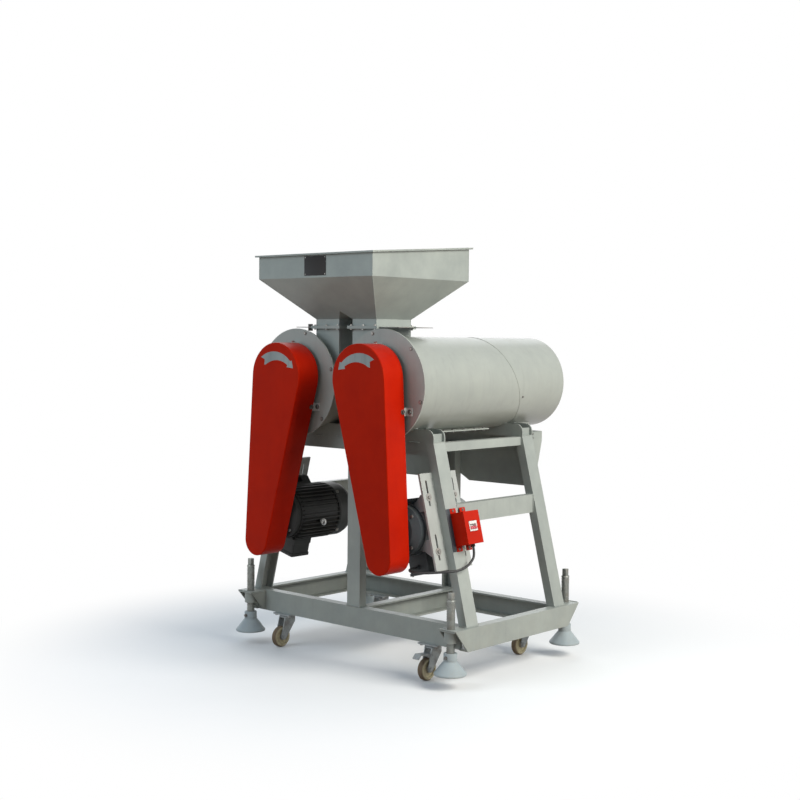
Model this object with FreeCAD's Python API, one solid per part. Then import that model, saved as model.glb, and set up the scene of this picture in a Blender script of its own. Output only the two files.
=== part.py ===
"""Twin-drum seed sheller on a rolling channel-iron frame.

Frame: millimetres, +Z up, origin on the floor under the middle of the base.
+X runs across the two drums to the right, -Y is the belt side (front).
Pieces on the right are drawn and their twins on the left are mirror images.
"""
import FreeCAD, Part
import math
import os
from FreeCAD import Vector

# Base of channel iron
base_width = 1395.0
base_length = 926.0
base_channel = 100.0
base_flange = 48.0
base_web = 6.0
base_flange_t = 8.0
base_underside = 160.0
base_end_slant = 87.0
cross_web_y = 366.0
corner_plate_width = 100.0

# Splayed legs, posts, beams and rails
leg_channel = 80.0
leg_flange = 43.0
leg_web = 5.0
leg_flange_t = 7.0
leg_foot_x = 680.0
leg_top_x = 480.0
leg_top = 1048.0
beam_height = 56.0
beam_depth = 37.0
beam_wall = 5.0
top_rail_height = 40.0
top_rail_wall = 4.0
top_rail_setback = 9.0
mid_rail_top = 780.0
mid_rail_height = 86.0
mid_rail_ledge = 36.0
saddle_height = 60.0
saddle_wall = 6.0
saddle_corner_r = 38.0
saddle_end_recess = 14.0

# Drums
drum_x = 272.0
drum_z = 1300.0
casing_r = 218.0
casing_wall = 3.0
casing_front_y = -472.0
casing_rear_y = 600.0
casing_seam_y = 534.0
seam_width = 8.0
seam_band_y = 245.0
seam_rise = 1.2
flange_r = 252.0
flange_t = 8.0
flange_bolt_r = 237.0
flange_bolts = 6
flange_bolt_turn = -16.0
rear_cover_t = 6.0
strip_drop = 208.0
strip_reach = 143.0
strip_t = 5.0
strip_front_y = -230.0
strip_rear_y = 110.0

# Screen and rotor
screen_r = 168.0
screen_wall = 3.0
screen_front_y = -170.0
bulkhead_t = 6.0
roller_r = 150.0
roller_gap_end = 12.0
shaft_r = 25.0
screw_r = 120.0
screw_pitch = 95.0
screw_flight_t = 6.0
bearing_r = 62.0
bearing_t = 34.0
bearing_boss_r = 44.0
shaft_front_y = -604.0
shaft_stub = 14.0
shaft_gap = 0.3

# Drive
motor_z = 666.0
motor_r = 137.0
motor_core_r = 117.0
motor_height = 132.0
motor_shaft_r = 19.0
motor_shoulder_y = -500.0
motor_length = 405.0
motor_bell_l = 62.0
motor_bell_r = 112.0
motor_bell_hub_r = 46.0
motor_bore_l = 120.0
motor_shaft_inner = 100.0
motor_cowl_l = 98.0
motor_cowl_r = 131.0
motor_fins = 36
motor_fin_t = 3.6
motor_foot_pitch_y = 178.0
motor_foot_pitch_z = 240.0
motor_foot_pad = 60.0
motor_box_reach = 207.0
motor_box_side = 112.0
motor_box_shift = 20.0
motor_gland_height = -173.0
big_pulley_r = 105.0
small_pulley_r = 60.0
pulley_width = 62.0
pulley_mid_y = -565.0
belt_count = 3
belt_pitch = 19.0
belt_width = 12.0
belt_depth = 9.0
belt_gap = 0.3
plate_t = 10.0
plate_width = 245.0
plate_mid_y = -323.0
plate_bottom = 513.0
plate_top = 931.0
slot_length = 115.0
slot_width = 11.0

# Belt cover
cover_top_x = drum_x - 10.0
cover_top_z = drum_z + 30.0
cover_top_r = 156.0
cover_low_x = 391.0
cover_low_z = 557.0
cover_low_r = 73.0
cover_front_y = -625.0
cover_back_y = -502.0
cover_wall = 2.0
cover_edge_r = 4.0
cover_rim = 14.0
bracket_width = 36.0
bracket_foot = 32.0
bracket_lap = 22.0
bracket_fit = 0.2
bracket_t = 4.0
cover_washer_r = 11.0
cover_washer_t = 2.0
bracket_z = 1190.0

# Hopper, necks and gates
hopper_half_width = 358.0
hopper_front_y = -639.0
hopper_rear_y = 15.0
hopper_skirt_z = 1777.0
hopper_front_rim_z = 1885.0
hopper_rear_rim_z = 1934.0
hopper_wall = 3.0
hopper_lip = 15.0
neck_inner_x = 43.0
neck_outer_x = 190.0
neck_front_y = -430.0
neck_rear_y = -197.0
neck_top = 1596.0
ridge_top = 1632.0
gate_z = 1559.0
gate_t = 3.0
gate_slot = 4.0
gate_open = 135.0
gate_tongue = 26.0
gate_grip_t = 6.0
gate_grip_height = 33.0
gate_grip_gap = 4.0
feed_flange = 18.0
feed_flange_t = 5.0

# Discharge chute
chute_half_width = 440.0
chute_rear_y = 500.0
chute_low_rear_y = 444.0
chute_top = 1065.0
chute_band = 48.0
chute_bottom = 806.0
chute_wall = 3.0
chute_notch_half = 95.0
chute_notch_top = 859.0
outlet_half_width = 100.0
outlet_front_y = 384.0
outlet_rear_y = 486.0
outlet_bottom = 1040.0

# Breaker box and its cable
box_z = 672.0
box_mid_y = -288.0
box_width = 105.0
box_height = 145.0
box_depth = 74.0
box_wall = 1.5
box_ear = 16.0
breaker_width = 54.0
breaker_height = 46.0
breaker_along = 5.0
breaker_body_height = 80.0
lever_travel_r = 13.0
cable_d = 11.0
gland_l = 12.0
gland_wall = 4.0
box_gland_y = box_mid_y + 20.0
cable_lead = 36.0
cable_tail = 44.0
cable_corners = [(648, -292, 529), (649, -342, 506), (637, -395, 499), (606, -436, 498), (568, -472, 498),
                 (528, -497, 497), (492, -503.5, 496), (454.5, -490.6, 497)]

# Levelling screws
jack_x = 641.0
jack_y = 428.0
jack_r = 19.0
jack_head = 22.0
jack_head_h = 33.0
jack_top = 420.0
jack_nut_r = 29.0
jack_nut_h = 50.0
pad_bottom = 61.0
pad_r = 72.0
pad_rim = 10.0
pad_cone_h = 60.0
pad_collar_r = 30.0
pad_collar_h = 36.0
thread_gap = 0.3

# Casters
caster_x = 470.0
caster_y = 342.0
caster_trail = 42.0
wheel_r = 50.0
wheel_width = 30.0
wheel_axle_r = 6.0
caster_plate_x = 110.0
caster_plate_y = 84.0
caster_plate_t = 6.0
kingpin_r = 9.0
fork_gap = 3.0
fork_wall = 4.0
fork_disc_r = 33.0
fork_disc_t = 12.0
pedal_pivot_back = 14.0
pedal_pivot_z = 112.0
pedal_pin_r = 3.5
pedal_flat = 74.0
pedal_reach = 92.0
caster_gap = 0.3

# Worked out from the sizes above
base_top = base_underside + base_channel
half_width = base_width / 2
half_length = base_length / 2
cross_toe_y = cross_web_y - base_flange
side_toe_x = half_width - base_flange
corner_x = half_width - corner_plate_width
lean = math.atan2(leg_foot_x - leg_top_x, leg_top - base_top)
lean_deg = math.degrees(lean)
leg_mid_y = -cross_web_y + leg_channel / 2
saddle_top = leg_top + saddle_height
flange_front_y = casing_front_y - flange_t
rear_cover_y = casing_rear_y + rear_cover_t
shaft_rear_y = rear_cover_y + bearing_t + shaft_stub
plate_out = leg_flange
motor_out = leg_flange + plate_t + motor_height
jack_plate_z = base_top - base_flange_t
gate_low = gate_z - gate_slot / 2
gate_high = gate_z + gate_slot / 2
gate_mid_y = (neck_front_y + neck_rear_y) / 2
fork_top = base_underside - caster_plate_t - caster_gap


def leg_x(z):
    """Outer face of the right legs at height z."""
    return leg_foot_x - (z - base_top) * math.tan(lean)


plate_mid_z = (plate_bottom + plate_top) / 2


def motor_axis_x():
    """The motor axis lies its foot height inside the motor plate."""
    face_z = motor_z + motor_out * math.sin(lean)
    return leg_x(face_z) - motor_out * math.cos(lean)


motor_x = motor_axis_x()


def save(name, *solids):
    """Write one node."""
    shape = solids[0] if len(solids) == 1 else Part.makeCompound(list(solids))
    shape.exportStep("parts/" + name + ".step")


def box(x0, x1, y0, y1, z0, z1):
    corner = Vector(min(x0, x1), min(y0, y1), min(z0, z1))
    return Part.makeBox(abs(x1 - x0), abs(y1 - y0), abs(z1 - z0), corner)


def rod_x(y, z, r, x0, x1):
    return Part.makeCylinder(r, x1 - x0, Vector(x0, y, z), Vector(1, 0, 0))


def rod_y(x, z, r, y0, y1):
    return Part.makeCylinder(r, y1 - y0, Vector(x, y0, z), Vector(0, 1, 0))


def rod_z(x, y, r, z0, z1):
    return Part.makeCylinder(r, z1 - z0, Vector(x, y, z0), Vector(0, 0, 1))


def prism(points, sweep):
    """Solid from a flat polygon moved along sweep."""
    wire = Part.makePolygon(points + [points[0]])
    return Part.Face(wire).extrude(sweep)


def prism_xz(points, y0, y1):
    return prism([Vector(x, y0, z) for x, z in points], Vector(0, y1 - y0, 0))


def prism_yz(points, x0, x1):
    return prism([Vector(x0, y, z) for y, z in points], Vector(x1 - x0, 0, 0))


def revolve_y(points, x, z):
    """Round solid about an axis along Y from (radius, y) points."""
    wire = Part.makePolygon([Vector(x + r, y, z) for r, y in points + [points[0]]])
    return Part.Face(wire).revolve(Vector(x, 0, z), Vector(0, 1, 0), 360)


def revolve_z(points, x, y):
    """Round solid about an upright axis from (radius, z) points."""
    wire = Part.makePolygon([Vector(x + r, y, z) for r, z in points + [points[0]]])
    return Part.Face(wire).revolve(Vector(x, y, 0), Vector(0, 0, 1), 360)


def mirrored(shape):
    """Twin on the left side."""
    return shape.mirror(Vector(0, 0, 0), Vector(1, 0, 0))


def turned_rear(shape):
    """Twin at the rear."""
    return shape.mirror(Vector(0, 0, 0), Vector(0, 1, 0))


def joined(shapes):
    """One solid from several that touch."""
    return shapes[0].multiFuse(shapes[1:]).removeSplitter()


def hex_bolt(x, y, z, direction, across, head, shank_r, shank):
    """Bolt whose head sits on the point and whose shank runs against the direction."""
    head_points = []
    for step in range(6):
        angle = math.radians(60 * step)
        head_points.append(Vector(across / math.sqrt(3) * math.cos(angle), across / math.sqrt(3) * math.sin(angle), 0))
    bolt = prism(head_points, Vector(0, 0, head))
    if shank > 0:
        bolt = bolt.fuse(Part.makeCylinder(shank_r, shank, Vector(0, 0, -shank)))
    turn = FreeCAD.Rotation(Vector(0, 0, 1), direction)
    bolt.Placement = FreeCAD.Placement(Vector(x, y, z), turn)
    return bolt


def on_leg(shape, z):
    """Place a shape drawn with X out of the leg and Z along it on the right leg's face at height z."""
    placed = shape.copy()
    placed.rotate(Vector(0, 0, 0), Vector(0, 1, 0), -lean_deg)
    placed.translate(Vector(leg_x(z), 0, z))
    return placed


def c_channel_y(x_web, inward, z0, height, flange, web, flange_t, y0, y1):
    """Channel running along Y, its web upright at x_web and its flanges pointing inward."""
    x_in = x_web + inward * web
    x_toe = x_web + inward * flange
    body = box(x_web, x_in, y0, y1, z0, z0 + height)
    low = box(x_in, x_toe, y0, y1, z0, z0 + flange_t)
    high = box(x_in, x_toe, y0, y1, z0 + height - flange_t, z0 + height)
    return joined([body, low, high])


def c_channel_x(y_web, inward, z0, height, flange, web, flange_t, x0, x1):
    """Channel running along X, its web upright at y_web and its flanges pointing inward."""
    y_in = y_web + inward * web
    y_toe = y_web + inward * flange
    body = box(x0, x1, y_web, y_in, z0, z0 + height)
    low = box(x0, x1, y_in, y_toe, z0, z0 + flange_t)
    high = box(x0, x1, y_in, y_toe, z0 + height - flange_t, z0 + height)
    return joined([body, low, high])


def base_side_channel():
    """Right base channel with slanted ends; its top flange is cut away for the corner plates."""
    channel = c_channel_y(half_width, -1, base_underside, base_channel, base_flange, base_web,
                          base_flange_t, -half_length, half_length)
    ends = prism_yz([(-half_length, base_top), (half_length, base_top),
                     (half_length - base_end_slant, base_underside),
                     (-half_length + base_end_slant, base_underside)], 0, half_width)
    channel = channel.common(ends)
    for y0, y1 in ((-half_length, -cross_web_y), (cross_web_y, half_length)):
        channel = channel.cut(box(corner_x, half_width - base_web, y0, y1, jack_plate_z, base_top))
    return channel


def base_cross_channel():
    """Front base channel between the toes of the side channels."""
    return c_channel_x(-cross_web_y, 1, base_underside, base_channel, base_flange, base_web,
                       base_flange_t, -side_toe_x, side_toe_x)


def base_centre_channel():
    """Middle base channel, open to the right."""
    return c_channel_y(0, 1, base_underside, base_channel, base_flange, base_web, base_flange_t,
                       -cross_toe_y, cross_toe_y)


def jack_bracket():
    """Front right corner plate with slanted gusset and welded nut."""
    plate = box(corner_x, half_width - base_web, -half_length, -cross_web_y, jack_plate_z, base_top)
    slope = base_end_slant / base_channel
    gusset_foot = base_underside + base_flange_t
    gusset = prism_yz([(-half_length + slope * base_flange_t, jack_plate_z), (-cross_web_y, jack_plate_z),
                       (-cross_web_y, gusset_foot),
                       (-half_length + slope * (base_top - gusset_foot), gusset_foot)],
                      corner_x, corner_x + base_web)
    nut = rod_z(jack_x, -jack_y, jack_nut_r, jack_plate_z - jack_nut_h, jack_plate_z)
    hole = rod_z(jack_x, -jack_y, jack_r + thread_gap, jack_plate_z - jack_nut_h - 1, base_top + 1)
    return joined([plate, gusset, nut]).cut(hole)


def leg():
    """Front right leg: channel with its web outward, both ends cut level."""
    def slab(out_from, out_to, y0, y1):
        near = out_from / math.cos(lean)
        far = out_to / math.cos(lean)
        outline = [(leg_x(base_top) - near, base_top), (leg_x(leg_top) - near, leg_top),
                   (leg_x(leg_top) - far, leg_top), (leg_x(base_top) - far, base_top)]
        return prism_xz(outline, y0, y1)

    front = -cross_web_y
    web = slab(0, leg_web, front, front + leg_channel)
    flange_front = slab(leg_web, leg_flange, front, front + leg_flange_t)
    flange_rear = slab(leg_web, leg_flange, front + leg_channel - leg_flange_t, front + leg_channel)
    return joined([web, flange_front, flange_rear])


def centre_post():
    """Front centre post: channel with its web to the front, under the beam."""
    half = leg_channel / 2
    web = box(-half, half, -cross_web_y, -cross_web_y + leg_web, base_top, leg_top - beam_height)
    side = box(half - leg_flange_t, half, -cross_web_y + leg_web, -cross_web_y + leg_flange,
               base_top, leg_top - beam_height)
    return joined([web, side, mirrored(side)])


def cross_beam():
    """Front cross beam between the leg tops, web to the front."""
    beam = c_channel_x(-cross_web_y, 1, leg_top - beam_height, beam_height, beam_depth, beam_wall,
                       beam_wall, -leg_top_x, leg_top_x)
    reach = leg_flange / math.cos(lean)
    low = leg_top - beam_height
    trim = prism_xz([(leg_x(low - 1) - reach, low - 1), (leg_x(leg_top + 1) - reach, leg_top + 1),
                     (half_width, leg_top + 1), (half_width, low - 1)], -cross_web_y - 1, 0)
    return beam.cut(trim).cut(mirrored(trim))


def top_rail():
    """Right top rail of angle iron between the legs."""
    outer = leg_top_x - top_rail_setback
    y_end = cross_web_y - leg_channel
    upright = box(outer - top_rail_wall, outer, -y_end, y_end, leg_top - top_rail_height, leg_top)
    ledge = box(outer - top_rail_height, outer - top_rail_wall, -y_end, y_end,
                leg_top - top_rail_wall, leg_top)
    return joined([upright, ledge])


def mid_rail():
    """Right middle rail: angle whose web is flush with the legs at its top edge, clear of the motor plate."""
    y_end = cross_web_y - leg_channel
    outer = leg_x(mid_rail_top)
    web = box(outer - leg_web, outer, -y_end, y_end, mid_rail_top - mid_rail_height, mid_rail_top)
    ledge = box(outer - mid_rail_ledge, outer - leg_web, -y_end, y_end, mid_rail_top - leg_web, mid_rail_top)
    return joined([web, ledge])


def saddle():
    """Front saddle: upright channel on its back, its two webs cut round to carry both drums."""
    front = -cross_web_y
    rear = front + leg_channel
    floor = box(-leg_top_x, leg_top_x, front, rear, leg_top, leg_top + saddle_wall)
    cheek = box(-leg_top_x, leg_top_x, front, front + saddle_wall, leg_top + saddle_wall, saddle_top)
    corners = [edge for edge in cheek.Edges
               if edge.BoundBox.ZMin > saddle_top - 1 and edge.BoundBox.YLength > saddle_wall / 2]
    cheek = cheek.makeFillet(saddle_corner_r, corners)
    rear_cheek = cheek.copy()
    rear_cheek.translate(Vector(0, leg_channel - saddle_wall, 0))
    end_x = leg_top_x - saddle_end_recess
    end = box(end_x - saddle_wall, end_x, front + saddle_wall, rear - saddle_wall,
              leg_top + saddle_wall, saddle_top - saddle_corner_r / 2)
    shape = joined([floor, cheek, rear_cheek, end, mirrored(end)])
    for side in (-1, 1):
        shape = shape.cut(rod_y(side * drum_x, drum_z, casing_r, front - 1, rear + 1))
    return shape


def neck_passage(z0, z1, grow):
    """Inside of the right feed neck, grown outward by a wall."""
    inner = neck_inner_x + hopper_wall - grow
    outer = neck_outer_x - hopper_wall + grow
    return box(inner, outer, neck_front_y + hopper_wall - grow, neck_rear_y - hopper_wall + grow, z0, z1)


def casing_strip(side):
    """Bolted seam strip lying level out of the casing's lower right (1) or left (-1) side."""
    top = strip_drop - strip_t / 2
    inner = math.sqrt((casing_r - casing_wall / 2) ** 2 - top ** 2)
    x0, x1 = sorted((drum_x + side * inner, drum_x + side * strip_reach))
    return box(x0, x1, strip_front_y, strip_rear_y, drum_z - top - strip_t, drum_z - top)


def drum_casing():
    """Right drum casing: rolled shell, seam band, screen bulkhead, seam strips and outlet spout."""
    shell = rod_y(drum_x, drum_z, casing_r, casing_front_y, casing_rear_y)
    band = rod_y(drum_x, drum_z, casing_r + seam_rise, seam_band_y - seam_width, seam_band_y)
    bore = rod_y(drum_x, drum_z, casing_r - casing_wall, casing_front_y, casing_rear_y)
    spout = box(drum_x - outlet_half_width, drum_x + outlet_half_width, outlet_front_y, outlet_rear_y,
                outlet_bottom, drum_z - casing_r / 2)
    body = joined([shell, band, spout, casing_strip(1), casing_strip(-1)])
    body = body.cut(bore)
    spout_hole = box(drum_x - outlet_half_width + casing_wall, drum_x + outlet_half_width - casing_wall,
                     outlet_front_y + casing_wall, outlet_rear_y - casing_wall, outlet_bottom, drum_z)
    body = body.cut(spout_hole)
    body = body.cut(neck_passage(drum_z + hopper_wall, drum_z + casing_r, 0))
    rings = []
    for y0 in (screen_front_y - bulkhead_t, casing_seam_y):
        ring = rod_y(drum_x, drum_z, casing_r - casing_wall, y0, y0 + bulkhead_t)
        rings.append(ring.cut(rod_y(drum_x, drum_z, screen_r - screen_wall, y0 - 1, y0 + bulkhead_t + 1)))
    return joined([body] + rings)


def drum_flange():
    """Right front flange of the drum with the shaft hole."""
    disc = rod_y(drum_x, drum_z, flange_r, flange_front_y, casing_front_y)
    return disc.cut(rod_y(drum_x, drum_z, shaft_r + shaft_gap, flange_front_y - 1, casing_front_y + 1))


def flange_bolt_ring():
    """Bolts round the rim of the right front flange."""
    bolts = []
    for step in range(flange_bolts):
        angle = math.radians(flange_bolt_turn + 360.0 * step / flange_bolts)
        x = drum_x + flange_bolt_r * math.cos(angle)
        z = drum_z + flange_bolt_r * math.sin(angle)
        bolts.append(hex_bolt(x, flange_front_y, z, Vector(0, -1, 0), 10, 5, 3, 0))
    return bolts


def rear_cover():
    """Right rear cover of the drum."""
    disc = rod_y(drum_x, drum_z, casing_r, casing_rear_y, rear_cover_y)
    return disc.cut(rod_y(drum_x, drum_z, shaft_r + shaft_gap, casing_rear_y - 1, rear_cover_y + 1))


def screen_cylinder():
    """Right screen between the bulkheads."""
    outer = rod_y(drum_x, drum_z, screen_r, screen_front_y, casing_seam_y)
    return outer.cut(rod_y(drum_x, drum_z, screen_r - screen_wall, screen_front_y - 1, casing_seam_y + 1))


def bearing_unit(face_y, out):
    """Flanged bearing unit on a drum end; out is -1 at the front and 1 at the rear."""
    points = [(shaft_r + shaft_gap, face_y), (bearing_r, face_y), (bearing_r, face_y + out * bearing_t * 0.35),
              (bearing_boss_r + 4, face_y + out * bearing_t * 0.5), (bearing_boss_r, face_y + out * bearing_t),
              (shaft_r + shaft_gap, face_y + out * bearing_t)]
    return revolve_y(points, drum_x, drum_z)


def feed_screw(y0, y1):
    """Helical flight on the rotor shaft under the feed neck."""
    helix = Part.makeHelix(screw_pitch, y1 - y0, shaft_r)
    profile = Part.Wire(Part.makePolygon([Vector(shaft_r - 2, 0, 0), Vector(screw_r, 0, 0),
                                          Vector(screw_r, 0, screw_flight_t),
                                          Vector(shaft_r - 2, 0, screw_flight_t), Vector(shaft_r - 2, 0, 0)]))
    flight = Part.Wire(helix).makePipeShell([profile], True, True)
    flight.rotate(Vector(0, 0, 0), Vector(1, 0, 0), -90)
    flight.translate(Vector(drum_x, y0, drum_z))
    return flight


def rotor():
    """Right rotor: shaft, feed screw, emery roller and driven pulley, as separate solids."""
    shaft = rod_y(drum_x, drum_z, shaft_r, shaft_front_y, shaft_rear_y)
    flight = feed_screw(casing_front_y + roller_gap_end, screen_front_y - screw_flight_t - bulkhead_t)
    flight = flight.cut(shaft)
    y0 = screen_front_y + roller_gap_end
    y1 = casing_seam_y - roller_gap_end
    roller = rod_y(drum_x, drum_z, roller_r, y0, y1)
    roller = roller.cut(rod_y(drum_x, drum_z, shaft_r, y0 - 1, y1 + 1))
    for step in range(6):
        groove = box(roller_r - 8, roller_r + 2, y0 - 1, y1 + 1, -9, 9)
        groove.rotate(Vector(0, 0, 0), Vector(0, 1, 0), 60 * step)
        groove.translate(Vector(drum_x, 0, drum_z))
        roller = roller.cut(groove)
    return [shaft, flight, roller, pulley(drum_x, drum_z, big_pulley_r, shaft_r)]


def belt_centres():
    """Y of each belt."""
    middle = (belt_count - 1) / 2
    return [pulley_mid_y + (step - middle) * belt_pitch for step in range(belt_count)]


def pulley(x, z, r, bore_r):
    """Grooved pulley with a thin disc web on a hub."""
    half = pulley_width / 2
    points = [(bore_r, pulley_mid_y - half), (r, pulley_mid_y - half)]
    groove_half = belt_width / 2 + 1
    root = r - belt_depth - belt_gap
    for y in belt_centres():
        points += [(r, y - groove_half), (root, y - groove_half + 2), (root, y + groove_half - 2),
                   (r, y + groove_half)]
    points += [(r, pulley_mid_y + half), (bore_r, pulley_mid_y + half)]
    return revolve_y(points, x, z)


def two_circle_outline(x0, z0, r0, x1, z1, r1, y):
    """Closed outline of two circles and their outer tangent lines, at height y."""
    reach = math.hypot(x1 - x0, z1 - z0)
    heading = math.atan2(z1 - z0, x1 - x0)
    open_angle = math.acos((r0 - r1) / reach)

    def point(x, z, r, angle):
        return Vector(x + r * math.cos(angle), y, z + r * math.sin(angle))

    a0 = heading + open_angle
    a1 = heading - open_angle
    start0 = point(x0, z0, r0, a0)
    end0 = point(x0, z0, r0, a1)
    start1 = point(x1, z1, r1, a1)
    end1 = point(x1, z1, r1, a0)
    big = Part.Arc(start0, point(x0, z0, r0, heading + math.pi), end0).toShape()
    small = Part.Arc(start1, point(x1, z1, r1, heading), end1).toShape()
    side0 = Part.makeLine(end0, start1)
    side1 = Part.makeLine(end1, start0)
    return Part.Wire([big, side0, small, side1])


def belts():
    """Right set of belts round both pulleys."""
    loops = []
    for y in belt_centres():
        y0 = y - belt_width / 2 + 1.7
        depth = Vector(0, belt_width - 3.4, 0)
        outer = two_circle_outline(drum_x, drum_z, big_pulley_r, motor_x, motor_z, small_pulley_r, y0)
        inner = two_circle_outline(drum_x, drum_z, big_pulley_r - belt_depth, motor_x, motor_z,
                                   small_pulley_r - belt_depth, y0)
        loops.append(Part.Face(outer).extrude(depth).cut(Part.Face(inner).extrude(depth)))
    return loops


def cover_block(shrink, y0, y1):
    """Solid of the belt cover's outline, drawn in by shrink."""
    outline = two_circle_outline(cover_top_x, cover_top_z, cover_top_r - shrink,
                                 cover_low_x, cover_low_z, cover_low_r - shrink, y0)
    return Part.Face(outline).extrude(Vector(0, y1 - y0, 0))


def belt_cover():
    """Right belt cover: teardrop shell open at the back, with a folded rim."""
    outer = cover_block(0, cover_front_y, cover_back_y)
    front_edges = [edge for edge in outer.Edges if edge.BoundBox.YMax < cover_front_y + 0.1]
    outer = outer.makeFillet(cover_edge_r, front_edges)
    hollow = cover_block(cover_wall, cover_front_y + cover_wall, cover_back_y - cover_wall)
    mouth = cover_block(cover_rim, cover_back_y - 2 * cover_wall, cover_back_y + 1)
    return outer.cut(hollow).cut(mouth)


def cover_side_angle(side):
    """Direction in which the right (1) or left (-1) side of the right cover faces, from X toward Z."""
    reach = math.hypot(cover_low_x - cover_top_x, cover_low_z - cover_top_z)
    heading = math.atan2(cover_low_z - cover_top_z, cover_low_x - cover_top_x)
    return heading + side * math.acos((cover_top_r - cover_low_r) / reach)


def cover_side_x(z, side):
    """X of the right cover's right (1) or left (-1) side at height z."""
    angle = cover_side_angle(side)
    x = cover_top_x + cover_top_r * math.cos(angle)
    z_start = cover_top_z + cover_top_r * math.sin(angle)
    return x + (z_start - z) * math.tan(angle - (math.pi if side < 0 else 0))


def cover_screw(x, z, direction):
    """Button-like screw with a washer through the cover into a bracket."""
    y = cover_back_y - bracket_lap / 2
    seat = Vector(x, y, z)
    washer = Part.makeCylinder(cover_washer_r, cover_washer_t, seat, direction)
    top = seat + direction * cover_washer_t
    return washer.fuse(hex_bolt(top.x, top.y, top.z, direction, 13, 6, 4, 0))


def cover_brackets():
    """Flat-bar brackets inside the right cover, bent out onto the drum flange, with their screws."""
    bars = []
    low = bracket_z - bracket_width / 2
    high = bracket_z + bracket_width / 2
    back = cover_back_y - bracket_lap
    for side in (-1, 1):
        x = min(side * cover_side_x(low, side), side * cover_side_x(high, side)) * side
        x -= side * (cover_wall / abs(math.cos(cover_side_angle(side))) + bracket_fit)
        strip = box(*sorted((x, x - side * bracket_t)), back, flange_front_y, low, high)
        foot = box(*sorted((x, x + side * bracket_foot)), flange_front_y - bracket_t, flange_front_y, low, high)
        bars.append(joined([strip, foot]))
        bars.append(hex_bolt(x + side * bracket_foot * 0.6, flange_front_y - bracket_t, bracket_z, Vector(0, -1, 0),
                             13, 6, 4, 0))
        angle = cover_side_angle(side)
        bars.append(cover_screw(cover_side_x(bracket_z, side), bracket_z, Vector(math.cos(angle), 0, math.sin(angle))))
    half = bracket_width / 2
    top = cover_top_z + math.sqrt((cover_top_r - cover_wall) ** 2 - half ** 2) - bracket_fit
    strip = box(cover_top_x - half, cover_top_x + half, back, flange_front_y, top - bracket_t, top)
    foot = box(cover_top_x - half, cover_top_x + half, flange_front_y - bracket_t, flange_front_y,
               top - bracket_foot, top)
    bars.append(joined([strip, foot]))
    bars.append(hex_bolt(cover_top_x, flange_front_y - bracket_t, top - bracket_foot * 0.6, Vector(0, -1, 0), 13, 6, 4, 0))
    bars.append(cover_screw(cover_top_x, cover_top_z + cover_top_r, Vector(0, 0, 1)))
    return bars


def motor_stator():
    """Finned stator frame with its two feet, in leg coordinates about the motor axis."""
    y0 = motor_shoulder_y + motor_bell_l
    y1 = motor_shoulder_y + motor_length - motor_cowl_l
    core = rod_y(0, 0, motor_core_r, y0, y1)
    fins = []
    for step in range(motor_fins):
        angle = 360.0 * (step + 0.5) / motor_fins
        toward_feet = math.cos(math.radians(angle)) > 0.62
        toward_box = math.sin(math.radians(angle)) < -0.9
        if toward_feet or toward_box:
            continue
        fin = box(motor_core_r - 3, motor_r - 3, y0 + 4, y1 - 2, -motor_fin_t / 2, motor_fin_t / 2)
        fin.rotate(Vector(0, 0, 0), Vector(0, 1, 0), -angle)
        fins.append(fin)
    feet = []
    foot_mid_y = plate_mid_y
    half = motor_foot_pitch_z / 2
    bridge = motor_foot_pitch_y / 2 - motor_foot_pad / 2
    for side in (-1, 1):
        outline = [(motor_height, side * (half + 16)), (motor_height, side * (half - 50)),
                   (motor_height - 14, side * (half - 58)), (motor_core_r * 0.55, side * motor_core_r * 0.55),
                   (motor_core_r * 0.55, side * motor_core_r * 0.8), (motor_height - 16, side * (half + 16))]
        if side < 0:
            outline.reverse()
        foot = prism_xz(outline, foot_mid_y - motor_foot_pitch_y / 2 - 22, foot_mid_y + motor_foot_pitch_y / 2 + 22)
        middle = box(motor_core_r * 0.8, motor_height - 15, foot_mid_y - bridge, foot_mid_y + bridge,
                     side * (half - 62), side * (half + 30))
        foot = foot.cut(middle)
        for end in (-1, 1):
            y = foot_mid_y + end * motor_foot_pitch_y / 2
            foot = foot.cut(rod_x(y, side * half, 6, motor_height - 30, motor_height + 1))
        feet.append(foot)
    seat_mid_y = foot_mid_y - motor_box_shift
    seat = box(-motor_box_side / 2, motor_box_side / 2, seat_mid_y - motor_box_side / 2,
               seat_mid_y + motor_box_side / 2, -motor_box_reach + 60, -motor_core_r * 0.8)
    body = joined([core] + fins + feet + [seat])
    return body.cut(rod_y(0, 0, motor_shaft_r + shaft_gap, y0 - 1, y0 + motor_bore_l))


def motor_bell():
    """Drive-end bell with a stepped nose."""
    y0 = motor_shoulder_y
    y1 = motor_shoulder_y + motor_bell_l
    bore = motor_shaft_r + shaft_gap
    hub = motor_bell_hub_r
    rim = motor_bell_r
    return revolve_y([(bore, y0), (hub, y0), (hub + 4, y0 + 8), (hub + 32, y0 + 14), (rim - 10, y0 + 28), (rim, y0 + 34),
                      (rim, y1), (bore, y1)], 0, 0)


def motor_cowl():
    """Fan cowl with a rounded rear and an air grille of ring slots."""
    y0 = motor_shoulder_y + motor_length - motor_cowl_l
    y1 = motor_shoulder_y + motor_length
    r = motor_cowl_r
    cowl = revolve_y([(0, y0), (r - 6, y0), (r, y0 + 6), (r, y1 - 30), (r - 6, y1 - 12), (r - 22, y1 - 3),
                      (r - 34, y1), (0, y1)], 0, 0)
    for slot_r in (40, 62, 84):
        slot = rod_y(0, 0, slot_r + 8, y1 - 6, y1 + 1).cut(rod_y(0, 0, slot_r, y1 - 7, y1 + 2))
        slot = slot.cut(box(-6, 6, y1 - 8, y1 + 2, -r, r))
        slot = slot.cut(box(-r, r, y1 - 8, y1 + 2, -6, 6))
        cowl = cowl.cut(slot)
    return cowl


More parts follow.
